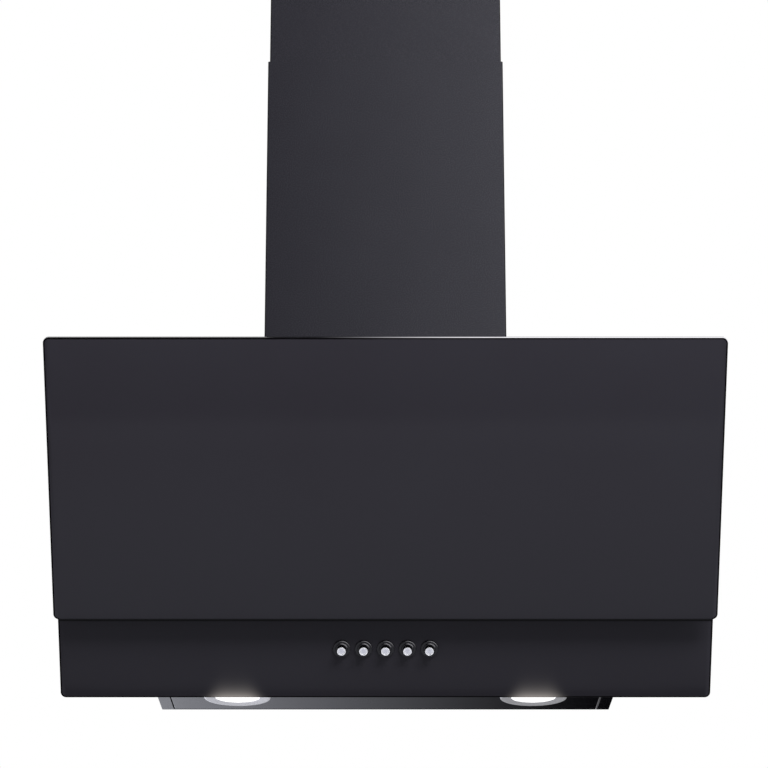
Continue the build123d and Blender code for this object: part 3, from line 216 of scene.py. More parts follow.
# A finish is a dictionary: two colours mixed in soft patches, a roughness range, and a fine grain as bump.
# patchMm and grainMm are real sizes; stretch draws the grain out along one axis, as brushing or rolling does.
def makeFinish(look):
    paint, tree = newPaint(look["name"])
    place = addNode(tree, "ShaderNodeTexCoord")
    patches = addNode(tree, "ShaderNodeTexNoise", {"Vector": place.outputs["Object"],
                                                   "Scale": 1 / (look["patchMm"] * mm), "Detail": 4.0,
                                                   "Roughness": 0.6})
    spread = addNode(tree, "ShaderNodeMapRange", {"Value": patches.outputs[0], "From Min": noiseLow,
                                                  "From Max": noiseHigh})
    colour = addNode(tree, "ShaderNodeMix", {0: spread.outputs[0], 6: toLinear(look["colours"][0]),
                                             7: toLinear(look["colours"][1])}, data_type="RGBA")
    drawn = addNode(tree, "ShaderNodeMapping", {"Vector": place.outputs["Object"],
                                                "Scale": look.get("stretch", (1, 1, 1))})
    grain = addNode(tree, "ShaderNodeTexNoise", {"Vector": drawn.outputs[0],
                                                 "Scale": 1 / (look["grainMm"] * mm), "Detail": 3.0,
                                                 "Roughness": 0.55})
    rough = addNode(tree, "ShaderNodeMapRange", {"Value": grain.outputs[0], "From Min": noiseLow,
                                                 "From Max": noiseHigh, "To Min": look["rough"][0],
                                                 "To Max": look["rough"][1]})
    bump = addNode(tree, "ShaderNodeBump", {"Height": grain.outputs[0], "Distance": look["grainDepthMm"] * mm,
                                            "Strength": look.get("bump", 0.6)})
    shader = addNode(tree, "ShaderNodeBsdfPrincipled", {"Base Color": colour.outputs[2],
                                                        "Roughness": rough.outputs[0],
                                                        "Normal": bump.outputs[0],
                                                        "Metallic": look.get("metallic", 0.0)})
    for socket, value in look.get("sockets", {}).items():
        shader.inputs[socket].default_value = value
    addNode(tree, "ShaderNodeOutputMaterial", {"Surface": shader.outputs[0]})
    return paint, dict(tree=tree, place=place, colour=colour, rough=rough, bump=bump, shader=shader)


# Painted light that a finish holds in itself: its colour, and the socket that says how strong it is at each
# point
def holdPaintedLight(parts, colour, strength):
    parts["shader"].inputs["Emission Color"].default_value = toLinear(colour)
    parts["tree"].links.new(strength, parts["shader"].inputs["Emission Strength"])


# Finishes that are no more than their look, by slot
plainLooks = dict(
    # Thin dark paint on the panel's tray and the carrier
    dark_steel=dict(name="darkPaintedSteel", colours=("#232327", "#2b2b30"), patchMm=40, rough=(0.45, 0.58),
                    grainMm=0.8, grainDepthMm=0.02, bump=0.4),
    # Moulded black plastic with a fine spark-eroded texture
    black_plastic=dict(name="sparkedBlackPlastic", colours=("#0e0e11", "#141417"), patchMm=12,
                       rough=(0.34, 0.46), grainMm=0.35, grainDepthMm=0.02, bump=0.5),
    # Grey flame-proof plastic of boxes and switch bank: even, slightly chalky
    grey_plastic=dict(name="mouldedGreyPlastic", colours=("#8b8f92", "#979b9e"), patchMm=25,
                      rough=(0.42, 0.55), grainMm=0.5, grainDepthMm=0.03, bump=0.5),
    # Warm white capacitor can, moulded, a little glossier
    white_plastic=dict(name="mouldedWhitePlastic", colours=("#d6d5ce", "#dfded8"), patchMm=20,
                       rough=(0.35, 0.45), grainMm=0.5, grainDepthMm=0.02, bump=0.4),
    # Glass-filled wheel plastic: dark grey with paler flow marks
    wheel_plastic=dict(name="glassFilledWheelPlastic", colours=("#3c3d40", "#4b4c50"), patchMm=18,
                       rough=(0.48, 0.62), grainMm=0.6, grainDepthMm=0.04, bump=0.5),
    # Die-cast aluminium heat sinks: pale, matt, with a faint skin
    cast_aluminium=dict(name="dieCastAluminium", colours=("#a4a6a8", "#b3b5b7"), patchMm=10,
                        rough=(0.42, 0.58), grainMm=0.6, grainDepthMm=0.04, metallic=1.0),
    # Drawn spring steel: greyer, streaked along the wire
    spring_steel=dict(name="drawnSpringSteel", colours=("#9a9c9f", "#adafb2"), patchMm=8, rough=(0.22, 0.34),
                      grainMm=0.3, grainDepthMm=0.01, metallic=1.0, stretch=(0.15, 1, 1)),
    # Bright zinc plate: cool, with faint yellow and blue clouds
    zinc_steel=dict(name="brightZincPlate", colours=("#b9bfc6", "#c9c7bb"), patchMm=9, rough=(0.24, 0.36),
                    grainMm=0.7, grainDepthMm=0.01, metallic=1.0),
    # Matt black rubber of the panel's bumpers
    rubber=dict(name="mouldedRubber", colours=("#1b1b1b", "#222222"), patchMm=6, rough=(0.7, 0.85),
                grainMm=0.4, grainDepthMm=0.03),
    # Nickel plate of the magnets: bright with a yellow cast
    magnet=dict(name="nickelPlatedMagnet", colours=("#b2ada4", "#c0bbb2"), patchMm=5, rough=(0.16, 0.26),
                grainMm=0.5, grainDepthMm=0.005, metallic=1.0),
    # Bright aluminium of the grease filter: rolled, slightly streaked
    filter_aluminium=dict(name="rolledAluminium", colours=("#c4c7ca", "#d3d5d7"), patchMm=16,
                          rough=(0.24, 0.38), grainMm=0.8, grainDepthMm=0.012, metallic=1.0,
                          stretch=(0.2, 1, 1)),
    # Baked lacquer of the motor: near black, half gloss
    motor_paint=dict(name="bakedMotorLacquer", colours=("#26262a", "#303034"), patchMm=12, rough=(0.3, 0.45),
                     grainMm=1.2, grainDepthMm=0.03),
    # Blackened screws: dark metal with a brown-grey sheen
    black_screw=dict(name="blackenedSteel", colours=("#1c1c1f", "#26262a"), patchMm=3, rough=(0.35, 0.5),
                     grainMm=0.3, grainDepthMm=0.01, metallic=0.6),
    # Satin chrome of the lamp rims: soft bright metal with a fine grain, and a faint painted glow that stands
    # in for the lens's light beside it
    satin_metal=dict(name="satinChrome", colours=("#f2f2f5", "#fafafd"), patchMm=10, rough=(0.34, 0.42),
                     grainMm=0.25, grainDepthMm=0.004, metallic=0.42,
                     sockets={"Emission Color": toLinear("#fdfdff"), "Emission Strength": 0.12}),
    # Frosted lens in front of white light-emitting diodes, switched on
    lamp_lens=dict(name="litFrostedLens", colours=("#f4f6f8", "#ffffff"), patchMm=3, rough=(0.35, 0.5),
                   grainMm=0.6, grainDepthMm=0.02,
                   sockets={"Emission Color": toLinear("#fffdfb"), "Emission Strength": 1.0}))
slotPaint = {slotName: makeFinish(look)[0] for slotName, look in plainLooks.items()}

# Satin black powder coat on folded steel: a dark cool grey with a fine even orange peel, and painted shade,
# near black and duller, where the surface turns away from the front
coatLook = dict(name="blackPowderCoat", colours=("#201f25", "#232228"), patchMm=60, rough=(0.24, 0.30),
                grainMm=0.9, grainDepthMm=0.012, bump=0.2)
# Painted shade, as dark outlines: where the surface turns away from the front, up to the flank, which is
# plain coat again
edgeShadeLook = dict(start=0.10, full=0.35, flankStart=0.97, flankFull=0.99, colour="#050406", rough=0.85)
slotPaint["black_steel"], coat = makeFinish(coatLook)
coatTree = coat["tree"]
coatSide = addNode(coatTree, "ShaderNodeSeparateXYZ", {0: coat["place"].outputs["Normal"]})
coatTurn = addNode(coatTree, "ShaderNodeMath", {0: coatSide.outputs[0]}, operation="ABSOLUTE")
coatTurnShade = addNode(coatTree, "ShaderNodeMapRange", {"Value": coatTurn.outputs[0],
                                                    "From Min": edgeShadeLook["start"],
                                                    "From Max": edgeShadeLook["full"]})
coatFlank = addNode(coatTree, "ShaderNodeMapRange", {"Value": coatTurn.outputs[0],
                                                     "From Min": edgeShadeLook["flankStart"],
                                                     "From Max": edgeShadeLook["flankFull"],
                                                     "To Min": 1.0, "To Max": 0.0})
coatShadeShare = addNode(coatTree, "ShaderNodeMath", {0: coatTurnShade.outputs[0], 1: coatFlank.outputs[0]},
                   operation="MULTIPLY")
coatColour = addNode(coatTree, "ShaderNodeMix", {0: coatShadeShare.outputs[0], 6: coat["colour"].outputs[2],
                                                 7: toLinear(edgeShadeLook["colour"])}, data_type="RGBA")
coatTree.links.new(coatColour.outputs[2], coat["shader"].inputs["Base Color"])
coatRough = addNode(coatTree, "ShaderNodeMapRange", {"Value": coatShadeShare.outputs[0], "To Min": 0.0,
                                                     "To Max": edgeShadeLook["rough"]})
coatSpread = addNode(coatTree, "ShaderNodeMath", {0: coatRough.outputs[0], 1: coat["rough"].outputs[0]},
                     operation="MAXIMUM")
coatTree.links.new(coatSpread.outputs[0], coat["shader"].inputs["Roughness"])

# Gloss black enamel of the lamp plate: a smooth dark mirror with a little long-wave ripple
enamelLook = dict(name="glossBlackEnamel", colours=("#1f1e23", "#222126"), patchMm=80, rough=(0.16, 0.20),
                  grainMm=9, grainDepthMm=0.02, bump=0.2)
# Its rounded right-hand fold has a painted highlight, a thin glowing line. Places here, in the painted foot
# light, the painted edge highlight and the painted shadow band are in metres.
foldPaintedHighlight = dict(middleX=0.2003, reach=0.0005, below=-0.12, level=0.28, colour="#f4f2f8")
slotPaint["black_gloss_steel"], enamel = makeFinish(enamelLook)
plateTree = enamel["tree"]
plateAxes = addNode(plateTree, "ShaderNodeSeparateXYZ", {0: enamel["place"].outputs["Object"]})
plateFold = addNode(plateTree, "ShaderNodeMath", {0: plateAxes.outputs[0], 1: foldPaintedHighlight["middleX"],
                                                  2: foldPaintedHighlight["reach"]}, operation="COMPARE")
plateUnder = addNode(plateTree, "ShaderNodeMath", {0: plateAxes.outputs[2], 1: foldPaintedHighlight["below"]},
                     operation="LESS_THAN")
plateShare = addNode(plateTree, "ShaderNodeMath", {0: plateFold.outputs[0], 1: plateUnder.outputs[0]},
                     operation="MULTIPLY")
plateHighlightLevel = addNode(plateTree, "ShaderNodeMath", {0: plateShare.outputs[0], 1: foldPaintedHighlight["level"]},
                     operation="MULTIPLY")
holdPaintedLight(enamel, foldPaintedHighlight["colour"], plateHighlightLevel.outputs[0])

# Hot-dip galvanised sheet: grey spangle, each crystal a little lighter or darker, slightly rough
zincLook = dict(name="galvanisedSheet", colours=("#a9adb0", "#c3c6c8"), patchMm=14, rough=(0.32, 0.50),
                grainMm=2.2, grainDepthMm=0.01, metallic=1.0)
spangleLook = dict(crystalMm=7.0, dark="#9da1a5", pale="#cfd2d4")
slotPaint["galvanised"], zinc = makeFinish(zincLook)
spangle = addNode(zinc["tree"], "ShaderNodeTexVoronoi", {"Vector": zinc["place"].outputs["Object"],
                                                         "Scale": 1 / (spangleLook["crystalMm"] * mm),
                                                         "Randomness": 1.0})
spangleMix = addNode(zinc["tree"], "ShaderNodeMix", {0: spangle.outputs["Color"],
                                                     6: toLinear(spangleLook["dark"]),
                                                     7: toLinear(spangleLook["pale"])}, data_type="RGBA")
zinc["tree"].links.new(spangleMix.outputs[2], zinc["shader"].inputs["Base Color"])

# Black glass, painted on its back: the eye sees a deep cool black under a soft, even sheen
glassLook = dict(name="backPaintedBlackGlass", colours=("#35333a", "#37363d"), patchMm=220,
                 rough=(0.10, 0.14), grainMm=6.0, grainDepthMm=0.004, bump=0.1,
                 sockets={"Specular IOR Level": 0.06})
# Painted light: the front glass is painted a little paler towards the foot
footPaintedLight = dict(high=0.045, low=-0.0855, colour="#403f46")
blackGlass, glass = makeFinish(glassLook)
slotPaint["black_glass"] = blackGlass
glassAxes = addNode(glass["tree"], "ShaderNodeSeparateXYZ", {0: glass["place"].outputs["Object"]})
glassFootLight = addNode(glass["tree"], "ShaderNodeMapRange", {"Value": glassAxes.outputs[2],
                                                          "From Min": footPaintedLight["high"],
                                                          "From Max": footPaintedLight["low"]})
glassColour = addNode(glass["tree"], "ShaderNodeMix", {0: glassFootLight.outputs[0], 6: glass["colour"].outputs[2],
                                                       7: toLinear(footPaintedLight["colour"])}, data_type="RGBA")
glass["tree"].links.new(glassColour.outputs[2], glass["shader"].inputs["Base Color"])

# Ground arris of the glass: matt, and painted darker than the face as painted shade, a dark outline round the
# glass
shadedArrisLook = dict(name="groundGlassEdgePaintedShade", colours=("#040305", "#080709"), patchMm=5, rough=(0.7, 0.8),
                  grainMm=0.3, grainDepthMm=0.01, bump=0.3, sockets={"Specular IOR Level": 0.05})
shadedArrisPaint = makeFinish(shadedArrisLook)[0]

# Polished narrow face of the glass's edge: black, with a painted highlight in the top one, a glow from the
# right that fades to the left
edgeLook = dict(name="polishedGlassEdge", colours=("#060508", "#09080b"), patchMm=5, rough=(0.16, 0.2),
                grainMm=0.5, grainDepthMm=0.002, bump=0.2)
edgePaintedHighlight = dict(darkX=-0.065, brightX=0.095, above=0.1325, level=0.84, colour="#f4f2f8")
polishedEdge, polished = makeFinish(edgeLook)
edgeTree = polished["tree"]
edgeAxes = addNode(edgeTree, "ShaderNodeSeparateXYZ", {0: polished["place"].outputs["Object"]})
edgeRun = addNode(edgeTree, "ShaderNodeMapRange", {"Value": edgeAxes.outputs[0],
                                                   "From Min": edgePaintedHighlight["darkX"],
                                                   "From Max": edgePaintedHighlight["brightX"]},
                  interpolation_type="SMOOTHSTEP")
edgeHigh = addNode(edgeTree, "ShaderNodeMath", {0: edgeAxes.outputs[2], 1: edgePaintedHighlight["above"]},
                   operation="GREATER_THAN")
edgeShare = addNode(edgeTree, "ShaderNodeMath", {0: edgeRun.outputs[0], 1: edgeHigh.outputs[0]},
                    operation="MULTIPLY")
edgeHighlightLevel = addNode(edgeTree, "ShaderNodeMath", {0: edgeShare.outputs[0], 1: edgePaintedHighlight["level"]},
                    operation="MULTIPLY")
holdPaintedLight(polished, edgePaintedHighlight["colour"], edgeHighlightLevel.outputs[0])

# Painted light: a glow of the lamps painted into the control glass just above them
paintedLampGlow = dict(lampX=138.1, halfWidth=21.5, power=4.0, fade=4.3, reach=10.0, dome=0.35, low=-150.9,
                strength=0.32, most=0.25, colour="#fff6ee")


# Painted glow = strength e^-(rise + offset^power (1 + dome rise)), no more than most; rise = height above the
# foot of the glow / fade, up to reach, and offset = distance beside the lamp / half width
def addPaintedGlow(parts, look):
    tree = parts["tree"]
    axes = addNode(tree, "ShaderNodeSeparateXYZ", {0: parts["place"].outputs["Object"]})
    side = addNode(tree, "ShaderNodeMath", {0: axes.outputs[0]}, operation="ABSOLUTE")
    beside = addNode(tree, "ShaderNodeMath", {0: side.outputs[0], 1: look["lampX"] * mm},
                     operation="SUBTRACT")
    offset = addNode(tree, "ShaderNodeMath", {0: beside.outputs[0], 1: look["halfWidth"] * mm},
                     operation="DIVIDE")
    spread = addNode(tree, "ShaderNodeMath", {0: offset.outputs[0], 1: look["power"]}, operation="POWER")
    top = look["low"] + look["reach"] * look["fade"]
    rise = addNode(tree, "ShaderNodeMapRange", {"Value": axes.outputs[2], "From Min": look["low"] * mm,
                                                "From Max": top * mm, "To Max": look["reach"]})
    narrow = addNode(tree, "ShaderNodeMath", {0: rise.outputs[0], 1: look["dome"], 2: 1.0},
                     operation="MULTIPLY_ADD")
    dome = addNode(tree, "ShaderNodeMath", {0: spread.outputs[0], 1: narrow.outputs[0], 2: rise.outputs[0]},
                   operation="MULTIPLY_ADD")
    fall = addNode(tree, "ShaderNodeMath", {0: dome.outputs[0], 1: -1.0}, operation="MULTIPLY")
    share = addNode(tree, "ShaderNodeMath", {0: fall.outputs[0]}, operation="EXPONENT")
    gain = addNode(tree, "ShaderNodeMath", {0: share.outputs[0], 1: look["strength"]}, operation="MULTIPLY")
    level = addNode(tree, "ShaderNodeMath", {0: gain.outputs[0], 1: look["most"]}, operation="MINIMUM")
    holdPaintedLight(parts, look["colour"], level.outputs[0])


# Painted shadow: the control glass is painted near black from just under the front panel's foot upwards,
# where the panel overlaps it
shadowBandLook = dict(start=-0.0871, soft=0.0006, colour="#060607")
controlBlack, control = makeFinish(dict(glassLook, name="backPaintedControlGlass"))
addPaintedGlow(control, paintedLampGlow)
shadowBandAxes = addNode(control["tree"], "ShaderNodeSeparateXYZ", {0: control["place"].outputs["Object"]})
shadowBandShare = addNode(control["tree"], "ShaderNodeMapRange", {"Value": shadowBandAxes.outputs[2],
                                                            "From Min": shadowBandLook["start"],
                                                            "From Max": shadowBandLook["start"] + shadowBandLook["soft"]})
shadowBandColour = addNode(control["tree"], "ShaderNodeMix", {0: shadowBandShare.outputs[0],
                                                        6: control["colour"].outputs[2],
                                                        7: toLinear(shadowBandLook["colour"])}, data_type="RGBA")
control["tree"].links.new(shadowBandColour.outputs[2], control["shader"].inputs["Base Color"])
# The control glass's arris: painted dark as painted shade, and carrying the painted lamp glow
controlShadedArris, controlArrisShadeGlow = makeFinish(dict(shadedArrisLook, name="groundControlEdgePaintedShade"))
addPaintedGlow(controlArrisShadeGlow, paintedLampGlow)

# Turned metal of the button caps: a polished rim round a dish painted greyer, and a sleeve painted dark below
# the rim, both painted reflection of dark surroundings. The turning rings are drawn at 0.45 mm, coarser than
# real ones, so that they show.
capLook = dict(name="turnedSatinChrome", colours=("#fafafc", "#ffffff"), patchMm=4, rough=(0.28, 0.36),
               grainMm=0.2, grainDepthMm=0.004, metallic=0.7)
capDish = dict(edge=2.6, soft=0.5, floor=7.1, colour="#c4c4c9", ringMm=0.45, ringDepthMm=0.012, ringBump=0.7,
               sleeve=7.3, sleeveSoft=0.3, sleeveColour="#0e0e11")
slotPaint["button_metal"], cap = makeFinish(capLook)
capTree = cap["tree"]
capMap = addNode(capTree, "ShaderNodeUVMap", uv_map="turnedMap")
capAxes = addNode(capTree, "ShaderNodeSeparateXYZ", {0: capMap.outputs[0]})
capInside = addNode(capTree, "ShaderNodeMapRange", {"Value": capAxes.outputs[0],
                                                    "From Min": capDish["edge"] - capDish["soft"],
                                                    "From Max": capDish["edge"],
                                                    "To Min": 1.0, "To Max": 0.0})
capFront = addNode(capTree, "ShaderNodeMath", {0: capAxes.outputs[1], 1: capDish["floor"]},
                   operation="GREATER_THAN")
capFloor = addNode(capTree, "ShaderNodeMath", {0: capInside.outputs[0], 1: capFront.outputs[0]},
                   operation="MULTIPLY")
capShade = addNode(capTree, "ShaderNodeMix", {0: capFloor.outputs[0], 6: cap["colour"].outputs[2],
                                              7: toLinear(capDish["colour"])}, data_type="RGBA")
capSkirt = addNode(capTree, "ShaderNodeMapRange", {"Value": capAxes.outputs[1],
                                                   "From Min": capDish["sleeve"] - capDish["sleeveSoft"],
                                                   "From Max": capDish["sleeve"],
                                                   "To Min": 1.0, "To Max": 0.0})
capSleeveShade = addNode(capTree, "ShaderNodeMix", {0: capSkirt.outputs[0], 6: capShade.outputs[2],
                                             7: toLinear(capDish["sleeveColour"])}, data_type="RGBA")
capTree.links.new(capSleeveShade.outputs[2], cap["shader"].inputs["Base Color"])
capRadius = addNode(capTree, "ShaderNodeMath", {0: capAxes.outputs[0], 1: 2 * math.pi / capDish["ringMm"]},
                    operation="MULTIPLY")
capWave = addNode(capTree, "ShaderNodeMath", {0: capRadius.outputs[0]}, operation="SINE")
capRings = addNode(capTree, "ShaderNodeBump", {"Height": capWave.outputs[0], "Strength": capDish["ringBump"],
                                               "Distance": capDish["ringDepthMm"] * mm,
                                               "Normal": cap["bump"].outputs[0]})
capTree.links.new(capRings.outputs[0], cap["shader"].inputs["Normal"])

# Glossier moulded plastic of the collars; their rounded shoulders carry a painted highlight, a thin glowing
# line at the upper right, where they turn towards one direction
collarLook = dict(name="glossyCollarPlastic", colours=("#18171b", "#1b1a1f"), patchMm=6, rough=(0.20, 0.26),
                  grainMm=0.5, grainDepthMm=0.004, bump=0.3, sockets={"Specular IOR Level": 0.22})
shoulderPaintedHighlight = dict(towards=(0.354, -0.921, 0.161), dark=0.84, bright=0.98, level=0.4, colour="#f4f2f8")
collarPlastic, collar = makeFinish(collarLook)
shoulderTurn = addNode(collar["tree"], "ShaderNodeVectorMath", {0: collar["place"].outputs["Normal"],
                                                                1: shoulderPaintedHighlight["towards"]},
                       operation="DOT_PRODUCT")
shoulderHighlightLevel = addNode(collar["tree"], "ShaderNodeMapRange", {"Value": shoulderTurn.outputs["Value"],
                                                               "From Min": shoulderPaintedHighlight["dark"],
                                                               "From Max": shoulderPaintedHighlight["bright"],
                                                               "To Max": shoulderPaintedHighlight["level"]})
holdPaintedLight(collar, shoulderPaintedHighlight["colour"], shoulderHighlightLevel.outputs[0])

slotOf = {row["node"]: row["material_slot"] for row in frame["record"]["subparts"]}
for nodeName, nodeObject in frame["nodes"].items():
    nodeObject.data.materials.clear()
    nodeObject.data.materials.append(slotPaint[slotOf[nodeName]])
print("finishes set on", len(slotOf), "nodes")


# Quads of a grid of rows by columns whose columns close into a ring; closed rows join the last row to the
# first
def ringQuads(rows, columns, closedRows=False):
    row = np.arange(rows if closedRows else rows - 1)[:, None]
    column = np.arange(columns)[None, :]
    nextColumn = (column + 1) % columns
    nextRow = (row + 1) % rows
    corners = [row * columns + column, row * columns + nextColumn, nextRow * columns + nextColumn,
               nextRow * columns + column]
    return np.stack(np.broadcast_arrays(*corners), axis=-1).reshape(-1, 4)


# Shells of points and quads become one piece. Doubles at poles are merged and the faces turned outwards.
# finish numbers each quad's paint, radii gives each point's (r, n) for turning marks, and depthOf, for a
# sheet that is open at both faces, gives a point's depth, by which the open rings are sorted and closed flat.
def makePiece(name, shells, paints, body, stands, sharp=32, finish=None, depthOf=None, radii=None):
    clouds = [np.asarray(points).reshape(-1, 3) for points, _ in shells]
    starts = np.cumsum([0] + [len(cloud) for cloud in clouds[:-1]])
    points = np.concatenate(clouds)
    quads = np.concatenate([quads + start for (_, quads), start in zip(shells, starts)]).astype(np.int32)
    mesh = bpy.data.meshes.new(name)
    mesh.vertices.add(len(points))
    mesh.vertices.foreach_set("co", points.astype(np.float32).ravel())
    mesh.loops.add(quads.size)
    mesh.loops.foreach_set("vertex_index", quads.ravel())
    mesh.polygons.add(len(quads))
    mesh.polygons.foreach_set("loop_start", np.arange(0, quads.size, 4, dtype=np.int32))
    if finish is not None:
        mesh.polygons.foreach_set("material_index", np.asarray(finish, dtype=np.int32))
    for paint in paints:
        mesh.materials.append(paint)
    mesh.update(calc_edges=True)
    if radii is not None:
        turnedMap = mesh.uv_layers.new(name="turnedMap")
        turnedMap.data.foreach_set("uv", radii[quads.ravel()].astype(np.float32).ravel())
    work = bmesh.new()
    work.from_mesh(mesh)
    bmesh.ops.remove_doubles(work, verts=work.verts, dist=doubleGap)
    if depthOf:
        openEdges = [edge for edge in work.edges if edge.is_boundary]
        depth = {edge: sum(depthOf(vert.co) for vert in edge.verts) / 2 for edge in openEdges}
        middle = (min(depth.values()) + max(depth.values())) / 2
        for front in (True, False):
            chosen = [edge for edge in openEdges if (depth[edge] > middle) == front]
            bmesh.ops.triangle_fill(work, use_beauty=True, use_dissolve=False, edges=chosen)
    bmesh.ops.recalc_face_normals(work, faces=work.faces)
    work.to_mesh(mesh)
    work.free()
    mesh.polygons.foreach_set("use_smooth", np.ones(len(mesh.polygons), dtype=bool))
    mesh.set_sharp_from_angle(angle=math.radians(sharp))
    piece = bpy.data.objects.new(name, mesh)
    bpy.context.scene.collection.objects.link(piece)
    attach(piece, body)
    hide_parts(*stands)


# Turned shape: point = middle + r (cos a, sin a) in its plane, h out of the plane, one row for each (r, h)
def turned(profile, steps, middle, place):
    r, h = np.array(profile, dtype=float).T
    a = np.linspace(0, 2 * np.pi, steps, endpoint=False)
    across = middle[0] + r[:, None] * np.cos(a)
    along = middle[1] + r[:, None] * np.sin(a)
    return place(across, along, np.repeat(h[:, None], steps, axis=1))


# Arc of a profile: point = middle + radius (cos a, sin a), a running from one angle to the other in degrees
def arcRows(middle, radius, start, end, count):
    a = np.radians(np.linspace(start, end, count))
    return [(middle[0] + radius * math.cos(t), middle[1] + radius * math.sin(t)) for t in a]


# Sheet of glass with rounded corners: four quarter turns make the outline, point = corner's middle +
# (corner radius - inset) (cos a, sin a), and the profile's rows (inset, n) carry it round the edge: back
# arris, ground side, polished side, polished lip of the front arris, ground rest of it. Paints: 0 face,
# 1 ground, painted dark as painted shade, 2 polished, with a painted highlight on the top edge. A bright foot
# has the face's paint on the arris along its lower edge, instead of the painted shade.
def glassPane(look, paints, body, stands, holes=()):
    corner, steps, sheet, face = look["corner"], look["cornerSteps"], look["sheet"], look["face"]
    back, front, bevel, polish = look["backArris"], look["frontArris"], look["bevel"], look["polish"]
    quarter = np.radians(np.linspace(0, 90, steps))
    turns = np.concatenate([quarter + k * np.pi / 2 for k in range(4)])
    right, high, low = look["half"] - corner, look["high"] - corner, look["low"] + corner
    middleX = np.repeat([right, -right, -right, right], steps)
    middleS = np.repeat([high, high, low, low], steps)
    profile = np.array([(back, -sheet), (0.0, back - sheet), (0.0, look["ground"] - sheet), (0.0, -bevel),
                        (polish * front, (polish - 1) * bevel), (front, 0.0)])
    inset, depth = profile[:, :1], profile[:, 1:]
    x = middleX + (corner - inset) * np.cos(turns)
    s = middleS + (corner - inset) * np.sin(turns)
    shells = [(onSlope(x, s, face + np.broadcast_to(depth, x.shape)), ringQuads(len(profile), len(turns)))]
    rim = np.repeat([[1], [1], [2], [2], [1]], len(turns), axis=1)
    if look["brightFoot"]:
        rim[-1, 3 * steps - 1] = 0
    finish = [rim.ravel()]
    for holeX, holeS, radius in holes:
        rows = [(radius + back, -sheet), (radius, back - sheet), (radius, -back), (radius + back, 0.0)]
        ring = turned(rows, look["holeSteps"], (holeX, holeS), lambda u, v, h: onSlope(u, v, face + h))
        shells.append((ring, ringQuads(len(rows), look["holeSteps"])))
        finish.append(np.repeat([1, 2, 1], look["holeSteps"]))
    normal = onSlope(0, 0, 1) - onSlope(0, 0, 0)
    makePiece(look["name"], shells, paints, body, stands, finish=np.concatenate(finish),
              depthOf=lambda point: float(np.dot(normal, point)))


# What both panes share; ground is the height of the side's matt part, polish the polished share of the arris
paneForm = dict(corner=5.0, cornerSteps=13, sheet=4.0, backArris=0.3, frontArris=1.5, bevel=0.65, polish=0.2,
                ground=1.1, holeSteps=48)
frontPane = dict(paneForm, name="frontGlassPane", half=299.0, low=82.0, high=344.1, face=17.45,
                 brightFoot=True)
glassPane(frontPane, [blackGlass, shadedArrisPaint, polishedEdge], "front_panel", ["front_glass"])
buttons = dict(count=5, pitch=20.0, level=47.2, hole=6.0)
buttonXs = [(i - (buttons["count"] - 1) / 2) * buttons["pitch"] for i in range(buttons["count"])]
controlPane = dict(paneForm, name="controlGlassPane", half=297.5, low=-1.0, high=104.0, face=0.0,
                   brightFoot=False)
glassPane(controlPane, [controlBlack, controlShadedArris, polishedEdge], "hood", ["control_glass"],
          [(x, buttons["level"], buttons["hole"]) for x in buttonXs])
print("glass panes made")

# Push caps: a skirt with a rolled rim round a shallow dish, on a thin stem
capForm = dict(radius=3.95, top=8.0, foot=-4.0, fillet=0.375, filletRows=6, dish=3.2, deep=0.7, cove=0.6,
               coveRows=5, lip=0.06, footChamfer=0.2, stem=1.8, tail=-24.0, tailChamfer=0.4, steps=48)


# Rows (r, n) of a cap from the middle of its dish over the rim to the end of the stem
def capProfile(form):
    floorLevel = form["top"] - form["deep"]
    edge = form["radius"] - form["fillet"]
    inner = form["dish"] - form["cove"]
    return [(0, floorLevel), (0.5 * inner, floorLevel),
            *arcRows((inner, floorLevel + form["cove"]), form["cove"], -90, 0, form["coveRows"]),
            (form["dish"], form["top"] - form["lip"]), (form["dish"] + form["lip"], form["top"]),
            *arcRows((edge, form["top"] - form["fillet"]), form["fillet"], 90, 0, form["filletRows"]),
            (form["radius"], form["foot"] + form["footChamfer"]),
            (form["radius"] - form["footChamfer"], form["foot"]), (form["stem"], form["foot"]),
            (form["stem"], form["tail"] + form["tailChamfer"]),
            (form["stem"] - form["tailChamfer"], form["tail"]), (0, form["tail"])]


capRows = capProfile(capForm)
capRadii = np.repeat(np.array(capRows), capForm["steps"], axis=0)
for number, x in enumerate(buttonXs, start=1):
    shell = turned(capRows, capForm["steps"], (x, buttons["level"]), onSlope)
    makePiece(f"turnedCap{number}", [(shell, ringQuads(len(capRows), capForm["steps"]))],
              [slotPaint["button_metal"]], f"button_{number}", [f"button_{number}"], sharp=40,
              radii=capRadii)

# Stepped collars: a wide rim and a narrower step with rounded shoulders, a barrel through the glass, a bore
# for the cap
collarForm = dict(bore=4.01, barrel=5.8, foot=-8.0, rim=7.9, rimTop=2.0, arris=0.1, step=5.6, stepTop=3.2,
                  root=0.12, shoulder=0.4, shoulderRows=6, lead=0.25, steps=56)


# Rows (r, n) of a collar, from the bore's foot out over the barrel, the rim and the step back into the bore
def collarProfile(form):
    rise, rim, step, rows = form["shoulder"], form["rim"], form["step"], form["shoulderRows"]
    return [(form["bore"], form["foot"]), (form["barrel"], form["foot"]), (form["barrel"], 0.0),
            (rim - form["arris"], 0.0), (rim, form["arris"]),
            *arcRows((rim - rise, form["rimTop"] - rise), rise, 0, 90, rows),
            (step + form["root"], form["rimTop"]), (step, form["rimTop"] + form["root"]),
            *arcRows((step - rise, form["stepTop"] - rise), rise, 0, 90, rows),
            (form["bore"] + form["lead"], form["stepTop"]), (form["bore"], form["stepTop"] - form["lead"])]


